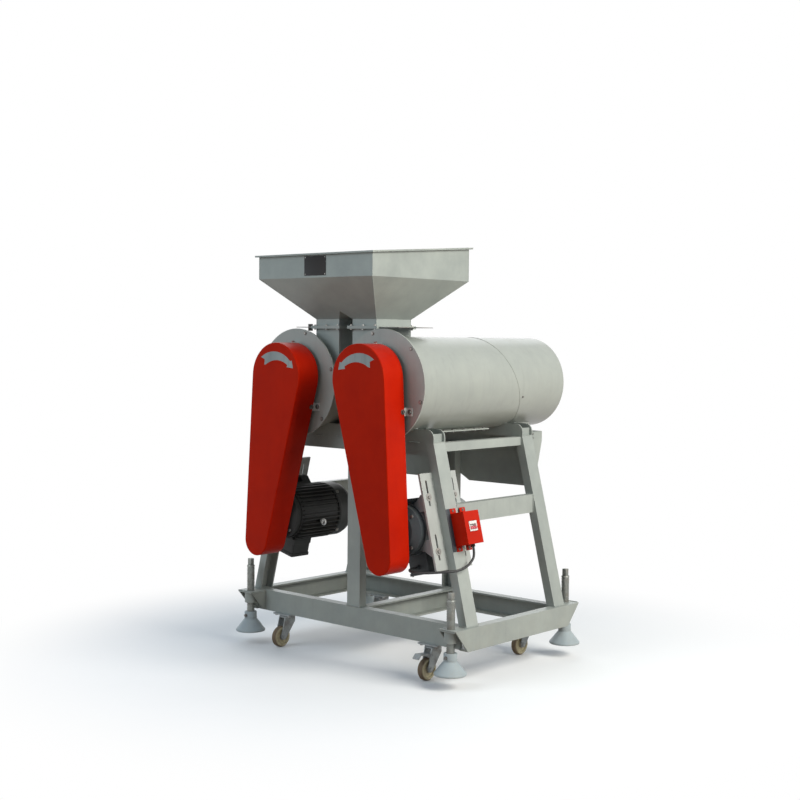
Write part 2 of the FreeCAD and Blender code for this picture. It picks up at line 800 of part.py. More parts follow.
def motor_terminal_box():
    """Terminal box with lid under the motor."""
    half = motor_box_side / 2
    mid = plate_mid_y - motor_box_shift
    body = box(-half, half, mid - half, mid + half, -motor_box_reach + 12, -motor_box_reach + 60)
    upright = [edge for edge in body.Edges if edge.BoundBox.ZLength > 40]
    body = body.makeFillet(9, upright)
    lid = box(-half - 4, half + 4, mid - half - 4, mid + half + 4, -motor_box_reach, -motor_box_reach + 12)
    upright = [edge for edge in lid.Edges if edge.BoundBox.ZLength > 10]
    lid = lid.makeFillet(12, upright)
    return joined([body, lid])


def motor_lifting_eye():
    """Lifting eye on the side away from the feet."""
    ring = Part.makeTorus(13, 4, Vector(-motor_r - 12, 0, 0), Vector(0, 1, 0))
    shank = rod_x(0, 0, 8, -motor_r - 5, -motor_core_r)
    eye = joined([ring, shank])
    eye.translate(Vector(0, plate_mid_y, 0))
    return eye


def placed_motor(shape):
    """Turn a motor piece from its own axes to the leg's slope and carry it to the motor axis."""
    placed = shape.copy()
    placed.rotate(Vector(0, 0, 0), Vector(0, 1, 0), -lean_deg)
    placed.translate(Vector(motor_x, 0, motor_z))
    return placed


def motor():
    """Right motor as separate solids: stator, bell, cowl, terminal box and lifting eye."""
    box_piece = motor_terminal_box()
    stator = motor_stator().cut(box_piece).cut(motor_lifting_eye())
    pieces = [stator, motor_bell(), motor_cowl(), box_piece, motor_lifting_eye()]
    return [placed_motor(piece) for piece in pieces]


def motor_shaft():
    """Right motor shaft and drive pulley."""
    y0 = pulley_mid_y - pulley_width / 2 - 4
    shaft = rod_y(motor_x, motor_z, motor_shaft_r, y0, motor_shoulder_y + motor_bell_l + motor_shaft_inner)
    return [shaft, pulley(motor_x, motor_z, small_pulley_r, motor_shaft_r)]


def slot_y(y, z_mid):
    """Adjusting slot through the motor plate, drawn in leg coordinates."""
    half = slot_length / 2
    r = slot_width / 2
    straight = box(-plate_out - plate_t - 1, -plate_out + 1, y - r, y + r, z_mid - half + r, z_mid + half - r)
    ends = [rod_x(y, z_mid + side * (half - r), r, -plate_out - plate_t - 1, -plate_out + 1) for side in (-1, 1)]
    return joined([straight] + ends)


def motor_offset():
    """Height of the motor axis above the middle of the plate, along the slope."""
    return (motor_z + motor_out * math.sin(lean) - plate_mid_z) / math.cos(lean)


def motor_plate():
    """Right motor plate, slotted so that the belts can be tightened."""
    half_y = plate_width / 2
    half_z = (plate_top - plate_bottom) / math.cos(lean) / 2
    plate = box(-plate_out - plate_t, -plate_out, plate_mid_y - half_y, plate_mid_y + half_y, -half_z, half_z)
    for side_z in (-1, 1):
        for side_y in (-1, 1):
            z_slot = motor_offset() + side_z * motor_foot_pitch_z / 2 + 18
            plate = plate.cut(slot_y(plate_mid_y + side_y * motor_foot_pitch_y / 2, z_slot))
    return on_leg(plate, plate_mid_z)


def motor_plate_bolts():
    """Bolt and washer through each slot of the right motor plate into the motor's feet."""
    bolts = []
    for side_z in (-1, 1):
        for side_y in (-1, 1):
            y = plate_mid_y + side_y * motor_foot_pitch_y / 2
            z = motor_offset() + side_z * motor_foot_pitch_z / 2
            washer = rod_x(y, z, 12, -plate_out, -plate_out + 2.5)
            bolt = hex_bolt(-plate_out + 2.5, y, z, Vector(1, 0, 0), 16, 7, 5, plate_t + 26)
            bolts.append(on_leg(joined([washer, bolt]), plate_mid_z))
    return bolts


def hopper_block(grow, above):
    """Solid of the hopper: skirt, sloping walls and outlet stubs, drawn in by grow and raised above the rim."""
    x = hopper_half_width - grow
    front = hopper_front_y + grow
    rear = hopper_rear_y - grow
    skirt = prism_yz([(front, hopper_skirt_z), (rear, hopper_skirt_z), (rear, hopper_rear_rim_z + above),
                      (front, hopper_front_rim_z + above)], -x, x)
    big = rectangle(x, front, rear, hopper_skirt_z)
    nx = neck_outer_x - grow
    nf = neck_front_y + grow
    nr = neck_rear_y - grow
    funnel = Part.makeLoft([rectangle(nx, nf, nr, neck_top), big], True, True)
    stubs = box(-nx, nx, nf, nr, gate_high, neck_top)
    return joined([skirt, funnel, stubs])


def rectangle(half_x, y0, y1, z):
    """Flat rectangle centred on X."""
    corners = [Vector(-half_x, y0, z), Vector(half_x, y0, z), Vector(half_x, y1, z), Vector(-half_x, y1, z)]
    return Part.makePolygon(corners + [corners[0]])


def ridge_wedge(grow):
    """Space under the dividing ridge, grown by a wall."""
    half = neck_inner_x + grow
    low = gate_high - hopper_wall
    return prism_xz([(-half, low), (half, low), (half, neck_top), (0, ridge_top + grow), (-half, neck_top)],
                    hopper_front_y, hopper_rear_y)


def hopper():
    """Hopper: flared bin with out-turned rim, dividing ridge and two flanged outlets."""
    shell = hopper_block(0, 0).cut(ridge_wedge(0))
    hollow = hopper_block(hopper_wall, hopper_lip).cut(ridge_wedge(hopper_wall))
    for side in (-1, 1):
        hollow = hollow.fuse(side_passage(side, gate_high - hopper_wall, neck_top))
    x = hopper_half_width + hopper_lip
    front = hopper_front_y - hopper_lip
    rear = hopper_rear_y + hopper_lip
    lip = prism_yz([(front, hopper_front_rim_z - hopper_wall), (rear, hopper_rear_rim_z - hopper_wall),
                    (rear, hopper_rear_rim_z), (front, hopper_front_rim_z)], -x, x)
    flanges = [feed_flange_plate(side, gate_high, gate_high + feed_flange_t) for side in (-1, 1)]
    return joined([shell, lip] + flanges).cut(hollow)


def side_passage(side, z0, z1):
    """Inside of the right (1) or left (-1) feed neck."""
    passage = neck_passage(z0, z1, 0)
    return passage if side > 0 else mirrored(passage)


def feed_flange_plate(side, z0, z1):
    """Flange plate round one feed neck."""
    inner = neck_inner_x - feed_flange
    outer = neck_outer_x + feed_flange
    plate = box(inner, outer, neck_front_y - feed_flange, neck_rear_y + feed_flange, z0, z1)
    plate = plate if side > 0 else mirrored(plate)
    return plate.cut(side_passage(side, z0 - 1, z1 + 1))


def feed_neck(side):
    """One feed neck from its flange down to the drum casing."""
    inner = neck_inner_x
    outer = neck_outer_x
    tube = box(inner, outer, neck_front_y, neck_rear_y, drum_z, gate_low)
    tube = tube.cut(rod_y(drum_x, drum_z, casing_r, neck_front_y - 1, neck_rear_y + 1))
    tube = tube.cut(neck_passage(drum_z + hopper_wall, gate_low, 0))
    rails = []
    for y0, y1 in ((neck_front_y - feed_flange, neck_front_y - 2), (neck_rear_y + 2, neck_rear_y + feed_flange)):
        rails.append(box(inner - feed_flange, outer + feed_flange, y0, y1, gate_low, gate_high))
    stop = box(inner - feed_flange, inner - 4, neck_front_y - 2, neck_rear_y + 2, gate_low, gate_high)
    pieces = [tube] + rails + [stop]
    if side < 0:
        pieces = [mirrored(piece) for piece in pieces]
    return joined(pieces + [feed_flange_plate(side, gate_low - feed_flange_t, gate_low)])


def feed_bolts():
    """Bolts that clamp the hopper and neck flanges, heads below."""
    bolts = []
    spacing = (neck_outer_x - neck_inner_x) / 2
    for side in (-1, 1):
        for step in range(3):
            x = side * (neck_inner_x + step * spacing)
            for y in (neck_front_y - feed_flange / 2 - 1, neck_rear_y + feed_flange / 2 + 1):
                head = hex_bolt(x, y, gate_low - feed_flange_t, Vector(0, 0, -1), 9, 5, 3, 0)
                nut = hex_bolt(x, y, gate_high + feed_flange_t, Vector(0, 0, 1), 9, 5, 3, 0)
                bolts += [head, nut]
    return bolts


def feed_gate():
    """Right feed gate, drawn pulled out, with the tongue it is pulled by."""
    x0 = neck_inner_x + gate_open
    x1 = neck_outer_x + gate_open
    z0 = gate_z - gate_t / 2
    plate = box(x0, x1, neck_front_y - 1, neck_rear_y + 1, z0, z0 + gate_t)
    tongue = box(x1, x1 + feed_flange + gate_grip_gap, gate_mid_y - gate_tongue / 2, gate_mid_y + gate_tongue / 2,
                 z0, z0 + gate_t)
    return joined([plate, tongue])


def gate_grip():
    """Upright grip bar on the left gate's tongue, clear of the flanges when the gate is shut."""
    x = -(neck_outer_x + gate_open + feed_flange + gate_grip_gap)
    return box(x - gate_grip_t, x, gate_mid_y - gate_tongue / 2, gate_mid_y + gate_tongue / 2,
               gate_z - gate_grip_height / 2, gate_z + gate_grip_height / 2)


def chute_block(grow):
    """Solid of the discharge chute with its notched floor edge, drawn in by grow."""
    x = chute_half_width - grow
    front = cross_web_y + grow
    shape = prism_yz([(front, chute_bottom - 1 if grow else chute_bottom), (front, chute_top + grow),
                      (chute_rear_y - grow, chute_top + grow), (chute_rear_y - grow, chute_top - chute_band),
                      (chute_low_rear_y - grow, chute_bottom - 1 if grow else chute_bottom)], -x, x)
    notch_half = chute_notch_half + grow
    notch = prism_xz([(-notch_half, chute_bottom - 2), (notch_half, chute_bottom - 2), (notch_half, chute_bottom),
                      (0, chute_notch_top + grow), (-notch_half, chute_bottom)], cross_web_y - 1, chute_rear_y + 1)
    return shape.cut(notch)


def discharge_chute():
    """Discharge chute behind the rear beam, divided by a roof between its two mouths."""
    return chute_block(0).cut(chute_block(chute_wall))


def breaker_box():
    """Breaker box on the right front leg with ears, drawn in leg coordinates."""
    half_y = box_width / 2
    half_z = box_height / 2
    outer = box(0, box_depth, box_mid_y - half_y, box_mid_y + half_y, -half_z, half_z)
    inner = box(box_wall, box_depth - box_wall, box_mid_y - half_y + box_wall, box_mid_y + half_y - box_wall,
                -half_z + box_wall, half_z - box_wall)
    window = box(box_depth - 5, box_depth + 1, box_mid_y - breaker_width / 2, box_mid_y + breaker_width / 2,
                 breaker_along - breaker_height / 2, breaker_along + breaker_height / 2)
    shell = outer.cut(inner).cut(window)
    ears = []
    for side_y in (-1, 1):
        for side_z in (-1, 1):
            y = box_mid_y + side_y * (half_y - 14)
            z = side_z * (half_z + box_ear / 2)
            ear = box(0, 2.5, y - 10, y + 10, side_z * half_z, side_z * (half_z + box_ear))
            ears.append(ear.cut(rod_x(y, z, 2.6, -1, 4)))
    gland_hole = rod_z(box_depth / 2, box_gland_y, cable_d / 2 + gland_wall / 2, -half_z - 1, -half_z + 4)
    return on_leg(joined([shell] + ears).cut(gland_hole), box_z)


def breaker_body():
    """Three-pole breaker behind the box window, with a slot for its lever."""
    z_mid = breaker_along
    body = box(box_wall, box_depth - 6, box_mid_y - breaker_width / 2 + 1, box_mid_y + breaker_width / 2 - 1,
               z_mid - breaker_body_height / 2, z_mid + breaker_body_height / 2)
    nose = box(box_depth - 6, box_depth + 1, box_mid_y - breaker_width / 2 + 1, box_mid_y + breaker_width / 2 - 1,
               z_mid - breaker_height / 2 + 1, z_mid + breaker_height / 2 - 1)
    slot = box(box_depth - 16, box_depth + 2, box_mid_y - 22, box_mid_y + 22, z_mid - 16, z_mid + 10)
    return on_leg(joined([body, nose]).cut(slot), box_z)


def breaker_lever():
    """Linked lever of the three poles, drawn down."""
    z_mid = breaker_along - 3
    x_axis = box_depth - 8
    pin = rod_y(x_axis, z_mid, 2.5, box_mid_y - 21.5, box_mid_y + 21.5)
    bar = box(x_axis, x_axis + lever_travel_r, box_mid_y - 18, box_mid_y + 18, z_mid - 2, z_mid + 2)
    lever = joined([pin, bar])
    lever.rotate(Vector(x_axis, 0, z_mid), Vector(0, 1, 0), 30)
    return on_leg(lever, box_z)


def cable_gland():
    """Gland under the breaker box."""
    low = -box_height / 2
    body = rod_z(box_depth / 2, box_gland_y, cable_d / 2 + gland_wall, low - gland_l, low)
    collar = rod_z(box_depth / 2, box_gland_y, cable_d / 2 + gland_wall / 2, low, low + box_wall)
    return on_leg(joined([body, collar]), box_z)


def motor_gland():
    """Gland on the front of the right motor's terminal box."""
    front = plate_mid_y - motor_box_shift - motor_box_side / 2
    return placed_motor(rod_y(0, motor_gland_height, cable_d / 2 + gland_wall, front - gland_l, front))


def leg_point(out, y, along):
    """Point given from the leg face at the breaker box's height."""
    x = leg_x(box_z) + out * math.cos(lean) - along * math.sin(lean)
    return Vector(x, y, box_z + out * math.sin(lean) + along * math.cos(lean))


def cable_points():
    """Route of the cable: out of the box, round the front of the leg and under the motor plate to the motor."""
    low = -box_height / 2 - gland_l
    end_y = plate_mid_y - motor_box_shift - motor_box_side / 2 - gland_l
    end = Vector(motor_x - motor_gland_height * math.sin(lean), end_y,
                 motor_z + motor_gland_height * math.cos(lean))
    corners = [Vector(x, y, z) for x, y, z in cable_corners]
    return [leg_point(box_depth / 2, box_gland_y, low), leg_point(box_depth / 2, box_gland_y, low - cable_lead),
            *corners, end.sub(Vector(0, cable_tail, 0)), end]


def tangent_path(points):
    """Straight runs joined by arcs as large as the runs allow; also gives the arcs' radii."""
    edges = []
    radii = []
    last = points[0]
    for before, corner, after in zip(points, points[1:], points[2:]):
        back = before.sub(corner)
        ahead = after.sub(corner)
        turn = math.pi - back.getAngle(ahead)
        trim = 0.45 * min(back.Length, ahead.Length)
        radii.append(trim / math.tan(turn / 2))
        back.normalize()
        ahead.normalize()
        start = corner.add(back.multiply(trim))
        end = corner.add(ahead.multiply(trim))
        middle_dir = start.add(end).multiply(0.5).sub(corner)
        reach = radii[-1] / math.cos(turn / 2) - radii[-1]
        middle_dir.normalize()
        middle = corner.add(middle_dir.multiply(reach))
        edges.append(Part.LineSegment(last, start).toShape())
        edges.append(Part.Arc(start, middle, end).toShape())
        last = end
    edges.append(Part.LineSegment(last, points[-1]).toShape())
    return Part.Wire(edges), radii


def breaker_cable():
    """Cable from the breaker box to the right motor."""
    points = cable_points()
    path, radii = tangent_path(points)
    print("cable radii", [round(r, 1) for r in radii], "length", round(path.Length, 1))
    print("cable points", [(round(p.x, 2), round(p.y, 2), round(p.z, 2)) for p in points])
    first = path.OrderedEdges[0]
    start = first.valueAt(first.FirstParameter)
    ring = Part.Wire(Part.makeCircle(cable_d / 2, start, first.tangentAt(first.FirstParameter)))
    tube = path.makePipeShell([ring], True, False)
    print("cable volume ratio", round(tube.Volume / (math.pi * cable_d ** 2 / 4 * path.Length), 4))
    return tube


def levelling_screw():
    """Front right levelling screw with its square head."""
    foot = pad_bottom + pad_cone_h / 2
    shank = rod_z(jack_x, -jack_y, jack_r, foot, jack_top - jack_head_h)
    half = jack_head / 2
    head = box(jack_x - half, jack_x + half, -jack_y - half, -jack_y + half, jack_top - jack_head_h, jack_top)
    return joined([shank, head])


def levelling_pad():
    """Front right cone pad with collar and set screw."""
    top = pad_bottom + pad_cone_h + pad_collar_h
    foot = pad_bottom + pad_cone_h / 2
    cone = revolve_z([(0, pad_bottom), (pad_r, pad_bottom), (pad_r, pad_bottom + pad_rim),
                      (pad_collar_r, pad_bottom + pad_cone_h), (pad_collar_r, top), (jack_r, top),
                      (jack_r, foot), (0, foot)], jack_x, -jack_y)
    screw = hex_bolt(jack_x, -jack_y - pad_collar_r, top - pad_collar_h / 2, Vector(0, -1, 0), 12, 6, 4, 0)
    return cone, screw


def caster_plate():
    """Front right caster plate with raceway, kingpin head and four bolts."""
    half_x = caster_plate_x / 2
    half_y = caster_plate_y / 2
    z0 = base_underside - caster_plate_t
    plate = box(caster_x - half_x, caster_x + half_x, -caster_y - half_y, -caster_y + half_y, z0, base_underside)
    pin = rod_z(caster_x, -caster_y, kingpin_r, z0 - fork_disc_t - 4, z0)
    head = rod_z(caster_x, -caster_y, kingpin_r + 5, z0 - fork_disc_t - 8 - caster_gap, z0 - fork_disc_t - 2 * caster_gap - 2)
    return joined([plate, pin, head])


def caster_bolts():
    """Nuts under the front right caster plate."""
    bolts = []
    for side_x in (-1, 1):
        for side_y in (-1, 1):
            x = caster_x + side_x * (caster_plate_x / 2 - 12)
            y = -caster_y + side_y * (caster_plate_y / 2 - 12)
            bolts.append(hex_bolt(x, y, base_underside - caster_plate_t, Vector(0, 0, -1), 13, 6, 4, 0))
    return bolts


def caster_fork(x, y):
    """Swivel fork whose wheel trails toward the front."""
    wheel_y = y - caster_trail
    half = wheel_width / 2 + fork_gap
    z1 = fork_top
    z0 = z1 - fork_disc_t
    disc = rod_z(x, y, fork_disc_r, z0, z1)
    crown = box(x - half - fork_wall, x + half + fork_wall, y - fork_disc_r, y + fork_disc_r, z0 - 2, z0 + 3)
    cheeks = []
    for side in (-1, 1):
        x0 = x + side * half
        x1 = x + side * (half + fork_wall)
        outline = [(y + fork_disc_r, z0 + 3), (y - fork_disc_r, z0 + 3), (wheel_y - 15, wheel_r + 6),
                   (wheel_y - 12, wheel_r - 12), (wheel_y + 12, wheel_r - 14), (y + fork_disc_r, z0 - 22)]
        cheeks.append(prism_yz(outline, min(x0, x1), max(x0, x1)))
    bore = rod_z(x, y, kingpin_r + caster_gap, z0 - 3, z1 + 1)
    fork = joined([disc, crown] + cheeks).cut(bore)
    axle = rod_x(wheel_y, wheel_r, wheel_axle_r, x - half - fork_wall - 5, x + half + fork_wall + 5)
    return fork.cut(axle), axle


def caster_wheel(x, y):
    """Caster wheel: tread, recessed web and hub."""
    wheel_y = y - caster_trail
    half = wheel_width / 2
    bore = wheel_axle_r + caster_gap
    points = [(bore, -half - 1), (14, -half - 1), (14, -half + 7), (34, -half + 7), (37, -half), (wheel_r - 5, -half),
              (wheel_r, -half + 6), (wheel_r, half - 6), (wheel_r - 5, half), (37, half), (34, half - 7),
              (14, half - 7), (14, half + 1), (bore, half + 1)]
    wheel = revolve_z(points, 0, 0)
    wheel.rotate(Vector(0, 0, 0), Vector(0, 1, 0), 90)
    wheel.translate(Vector(x, wheel_y, wheel_r))
    return wheel


def brake_pedal(x, y):
    """Brake pedal over the front right wheel, pivoted on the pin in the fork."""
    half = wheel_width / 2 + fork_gap - 0.5
    pivot_y = y - caster_trail + pedal_pivot_back
    z = pedal_pivot_z
    bend_y = pivot_y - pedal_flat
    toe_y = pivot_y - pedal_reach
    lever = prism_yz([(pivot_y + 9, z + 7), (bend_y, z + 14), (toe_y, z - 4), (toe_y + 5, z - 8),
                      (bend_y + 2, z + 9), (pivot_y - 10, z - 5), (pivot_y + 9, z - 7)], x - half, x + half)
    return lever.cut(rod_x(pivot_y, z, pedal_pin_r + caster_gap, x - half - 1, x + half + 1))


def pedal_pin(x, y):
    """Pin that carries the brake pedal between the fork cheeks."""
    reach = wheel_width / 2 + fork_gap + fork_wall + 2
    return rod_x(y - caster_trail + pedal_pivot_back, pedal_pivot_z, pedal_pin_r, x - reach, x + reach)


def write_frame():
    side = base_side_channel()
    save("base_right_channel", side)
    save("base_left_channel", mirrored(side))
    cross = base_cross_channel()
    save("base_front_channel", cross)
    save("base_rear_channel", turned_rear(cross))
    save("base_centre_channel", base_centre_channel())
    bracket = jack_bracket()
    save("jack_brackets", bracket, mirrored(bracket), turned_rear(bracket), turned_rear(mirrored(bracket)))
    front_leg = leg()
    save("leg_front_right", front_leg)
    save("leg_front_left", mirrored(front_leg))
    save("leg_rear_right", turned_rear(front_leg))
    save("leg_rear_left", mirrored(turned_rear(front_leg)))
    post = centre_post()
    save("post_front", post)
    save("post_rear", turned_rear(post))
    beam = cross_beam()
    save("beam_front", beam)
    save("beam_rear", turned_rear(beam))
    rail = top_rail()
    save("top_rail_right", rail)
    save("top_rail_left", mirrored(rail))
    middle = mid_rail()
    save("mid_rail_right", middle)
    save("mid_rail_left", mirrored(middle))
    seat = saddle()
    save("saddle_front", seat)
    save("saddle_rear", turned_rear(seat))


def write_drums():
    casing = drum_casing()
    save("drum_casing_right", casing)
    save("drum_casing_left", mirrored(casing))
    flange = drum_flange()
    save("drum_front_flanges", flange, mirrored(flange))
    cover = rear_cover()
    save("drum_rear_covers", cover, mirrored(cover))
    screen = screen_cylinder()
    save("screen_cylinders", screen, mirrored(screen))
    units = [bearing_unit(flange_front_y, -1), bearing_unit(rear_cover_y, 1)]
    save("bearing_units", *(units + [mirrored(unit) for unit in units]))
    pieces = rotor()
    save("rotor_right", *pieces)
    save("rotor_left", *[mirrored(piece) for piece in pieces])


def write_drive():
    loops = belts()
    save("drive_belts", *(loops + [mirrored(loop) for loop in loops]))
    brackets = cover_brackets()
    cover = [belt_cover().cut(brackets)] + brackets
    save("belt_cover_right", *cover)
    save("belt_cover_left", *[mirrored(piece) for piece in cover])
    pieces = motor()
    save("motor_right", *(pieces + [motor_gland()]))
    save("motor_left", *[mirrored(piece) for piece in pieces])
    shaft = motor_shaft()
    save("motor_shaft_right", *shaft)
    save("motor_shaft_left", *[mirrored(piece) for piece in shaft])
    plate = motor_plate()
    save("motor_plate_right", plate)
    save("motor_plate_left", mirrored(plate))


def write_feed():
    save("hopper", hopper())
    save("feed_necks", feed_neck(1), feed_neck(-1))
    gate = feed_gate()
    save("feed_gate_right", gate)
    save("feed_gate_left", joined([mirrored(gate), gate_grip()]))
    save("discharge_chute", discharge_chute())


def write_fasteners():
    plate_bolts = motor_plate_bolts()
    ring = flange_bolt_ring()
    nuts = caster_bolts()
    group = plate_bolts + ring + [mirrored(bolt) for bolt in plate_bolts + ring]
    for nut in nuts:
        group += [nut, mirrored(nut), turned_rear(nut), turned_rear(mirrored(nut))]
    save("frame_bolts", *(group + feed_bolts()))


def write_switch():
    save("breaker_box", breaker_box(), breaker_body(), cable_gland())
    save("breaker_lever", breaker_lever())
    save("breaker_cable", breaker_cable())


def write_floor_contact():
    screw = levelling_screw()
    cone, set_screw = levelling_pad()
    corners = (("front_right", lambda shape: shape), ("front_left", mirrored), ("rear_right", turned_rear),
               ("rear_left", lambda shape: turned_rear(mirrored(shape))))
    for name, place in corners:
        save("levelling_screw_" + name, place(screw), place(cone), place(set_screw))
    plate = caster_plate()
    save("caster_plates", *[place(plate) for name, place in corners])
    for name, side_x, side_y in (("front_right", 1, -1), ("front_left", -1, -1), ("rear_right", 1, 1),
                                 ("rear_left", -1, 1)):
        x = side_x * caster_x
        y = side_y * caster_y
        fork, axle = caster_fork(x, y)
        if name == "front_right":
            pin = pedal_pin(x, y)
            save("caster_fork_" + name, fork.cut(pin), axle, pin)
        else:
            save("caster_fork_" + name, fork, axle)
        save("caster_wheel_" + name, caster_wheel(x, y))
    save("brake_pedal", brake_pedal(caster_x, -caster_y))


os.makedirs("parts", exist_ok=True)
write_frame()
write_drums()
write_drive()
write_feed()
write_fasteners()
write_switch()
write_floor_contact()
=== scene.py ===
"""Twin-drum seed sheller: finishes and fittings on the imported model, built up from the floor."""
import bpy
import math
from mathutils import Matrix, Vector


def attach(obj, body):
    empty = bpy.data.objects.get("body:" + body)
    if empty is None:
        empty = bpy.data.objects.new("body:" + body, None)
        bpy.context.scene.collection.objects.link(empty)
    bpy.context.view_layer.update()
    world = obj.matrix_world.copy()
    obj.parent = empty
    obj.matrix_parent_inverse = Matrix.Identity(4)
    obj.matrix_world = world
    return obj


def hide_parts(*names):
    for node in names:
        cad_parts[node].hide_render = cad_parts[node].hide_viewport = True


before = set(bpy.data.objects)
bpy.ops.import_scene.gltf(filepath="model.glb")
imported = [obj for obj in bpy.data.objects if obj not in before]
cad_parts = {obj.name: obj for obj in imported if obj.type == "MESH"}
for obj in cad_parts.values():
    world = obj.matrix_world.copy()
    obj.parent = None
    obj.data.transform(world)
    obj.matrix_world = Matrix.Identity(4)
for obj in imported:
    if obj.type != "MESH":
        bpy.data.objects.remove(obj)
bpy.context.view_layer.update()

# Rolling base: 100 mm channel iron, mitred at the ends and stick welded.
# It is sprayed with one grey-green enamel that also covers the legs, drums and
# hopper, so the enamel is mixed here and used again further up.


def add_node(tree, kind, inputs=None, **options):
    """Adds a shader node, sets its options and fills or links its inputs."""
    made = tree.nodes.new(kind)
    for key, value in options.items():
        setattr(made, key, value)
    for key, value in (inputs or {}).items():
        if isinstance(value, bpy.types.NodeSocket):
            tree.links.new(value, made.inputs[key])
        else:
            made.inputs[key].default_value = value
    return made


def new_group(name, takes, gives):
    """Starts a shader node group; gives back its tree, its input node and its output node."""
    tree = bpy.data.node_groups.new(name, 'ShaderNodeTree')
    for label, value in takes.items():
        tree.interface.new_socket(label, in_out='INPUT', socket_type='NodeSocketFloat').default_value = value
    for label in gives:
        tree.interface.new_socket(label, in_out='OUTPUT', socket_type='NodeSocketFloat')
    return tree, tree.nodes.new('NodeGroupInput'), tree.nodes.new('NodeGroupOutput')


def use_group(tree, group, values=None):
    """Places a node group in a material with its own values."""
    made = tree.nodes.new('ShaderNodeGroup')
    made.node_tree = group
    for label, value in (values or {}).items():
        made.inputs[label].default_value = value
    return made


def ramp(tree, factor, low, high):
    """Straight ramp from 0 at low to 1 at high."""
    made = add_node(tree, 'ShaderNodeMapRange', {0: factor, 1: low, 2: high}, clamp=True)
    return made.outputs[0]


def colours(tree, factor, first, second):
    """Mixes two colours, or the outputs of two nodes."""
    made = add_node(tree, 'ShaderNodeMix', data_type='RGBA')
    for socket, value in ((made.inputs[0], factor), (made.inputs[6], first), (made.inputs[7], second)):
        if isinstance(value, bpy.types.NodeSocket):
            tree.links.new(value, socket)
        elif isinstance(value, tuple):
            socket.default_value = (*value, 1.0)
        else:
            socket.default_value = value
    return made.outputs[2]


def maths(tree, work, *values):
    """One sum on one to three values."""
    return add_node(tree, 'ShaderNodeMath', dict(enumerate(values)), operation=work).outputs[0]


def own_place(tree):
    """The piece's own coordinates."""
    return add_node(tree, 'ShaderNodeTexCoord').outputs['Object']


def noise(tree, where, scale, detail):
    """Cloudy noise from 0 to 1."""
    return add_node(tree, 'ShaderNodeTexNoise', {'Vector': where, 'Scale': scale, 'Detail': detail}).outputs[0]


def roughen(tree, shader, strength, distance, height):
    """Lets a height dent the surface."""
    bump = add_node(tree, 'ShaderNodeBump', {'Strength': strength, 'Distance': distance, 'Height': height})
    tree.links.new(bump.outputs[0], shader.inputs['Normal'])


def blank_paint(name):
    """Starts a material; gives it back with its node tree and its shader."""
    made = bpy.data.materials.new(name)
    made.use_nodes = True
    return made, made.node_tree, made.node_tree.nodes['Principled BSDF']


sheet_skin, given, result = new_group('sheet_skin', {'Peel': 420.0, 'Waves': 5.0}, ['Height', 'Tone', 'Runs'])
place = own_place(sheet_skin)
peel = add_node(sheet_skin, 'ShaderNodeTexNoise', {'Vector': place, 'Scale': given.outputs['Peel'], 'Detail': 2.0})
waves = add_node(sheet_skin, 'ShaderNodeTexNoise', {'Vector': place, 'Scale': given.outputs['Waves'], 'Detail': 1.0})
blotch = add_node(sheet_skin, 'ShaderNodeTexNoise', {'Vector': place, 'Scale': 17.0, 'Detail': 5.0, 'Roughness': 0.62})
drawn = add_node(sheet_skin, 'ShaderNodeMapping', {'Vector': place, 'Scale': (38.0, 38.0, 2.2)})
runs = add_node(sheet_skin, 'ShaderNodeTexNoise', {'Vector': drawn.outputs[0], 'Scale': 1.0, 'Detail': 4.0})
height = maths(sheet_skin, 'MULTIPLY_ADD', waves.outputs[0], 14.0, peel.outputs[0])
tone = maths(sheet_skin, 'MULTIPLY_ADD', waves.outputs[0], 0.55, maths(sheet_skin, 'MULTIPLY', blotch.outputs[0], 0.5))
sheet_skin.links.new(height, result.inputs['Height'])
sheet_skin.links.new(ramp(sheet_skin, tone, 0.36, 0.68), result.inputs['Tone'])
sheet_skin.links.new(ramp(sheet_skin, runs.outputs[0], 0.52, 0.74), result.inputs['Runs'])

edge_wear, given, result = new_group('edge_wear', {'Radius': 0.002, 'Breakup': 60.0}, ['Mask'])
place = own_place(edge_wear)
rounded = add_node(edge_wear, 'ShaderNodeBevel', {'Radius': given.outputs['Radius']}, samples=4)
true_face = add_node(edge_wear, 'ShaderNodeNewGeometry').outputs['Normal']
facing = add_node(edge_wear, 'ShaderNodeVectorMath', {0: rounded.outputs[0], 1: true_face}, operation='DOT_PRODUCT')
chips = add_node(edge_wear, 'ShaderNodeTexNoise', {'Vector': place, 'Scale': given.outputs['Breakup'], 'Detail': 6.0,
                                                   'Roughness': 0.7})
edge = ramp(edge_wear, facing.outputs['Value'], 0.99, 0.86)
edge_wear.links.new(maths(edge_wear, 'MULTIPLY', edge, ramp(edge_wear, chips.outputs[0], 0.46, 0.60)),
                    result.inputs['Mask'])

settled_dust, given, result = new_group('settled_dust', {'Splash': 0.45}, ['Mask'])
place = own_place(settled_dust)
apart = add_node(settled_dust, 'ShaderNodeSeparateXYZ', {'Vector': place})
up = add_node(settled_dust, 'ShaderNodeSeparateXYZ',
              {'Vector': add_node(settled_dust, 'ShaderNodeNewGeometry').outputs['Normal']})
cloud = add_node(settled_dust, 'ShaderNodeTexNoise', {'Vector': place, 'Scale': 11.0, 'Detail': 7.0, 'Roughness': 0.66})
specks = add_node(settled_dust, 'ShaderNodeTexNoise', {'Vector': place, 'Scale': 260.0, 'Detail': 2.0})
low = maths(settled_dust, 'SUBTRACT', 1.0, maths(settled_dust, 'DIVIDE', apart.outputs['Z'], given.outputs['Splash']))
laid = maths(settled_dust, 'MAXIMUM', maths(settled_dust, 'MULTIPLY', low, 0.55),
             maths(settled_dust, 'MULTIPLY', ramp(settled_dust, up.outputs['Z'], 0.55, 0.95), 0.6))
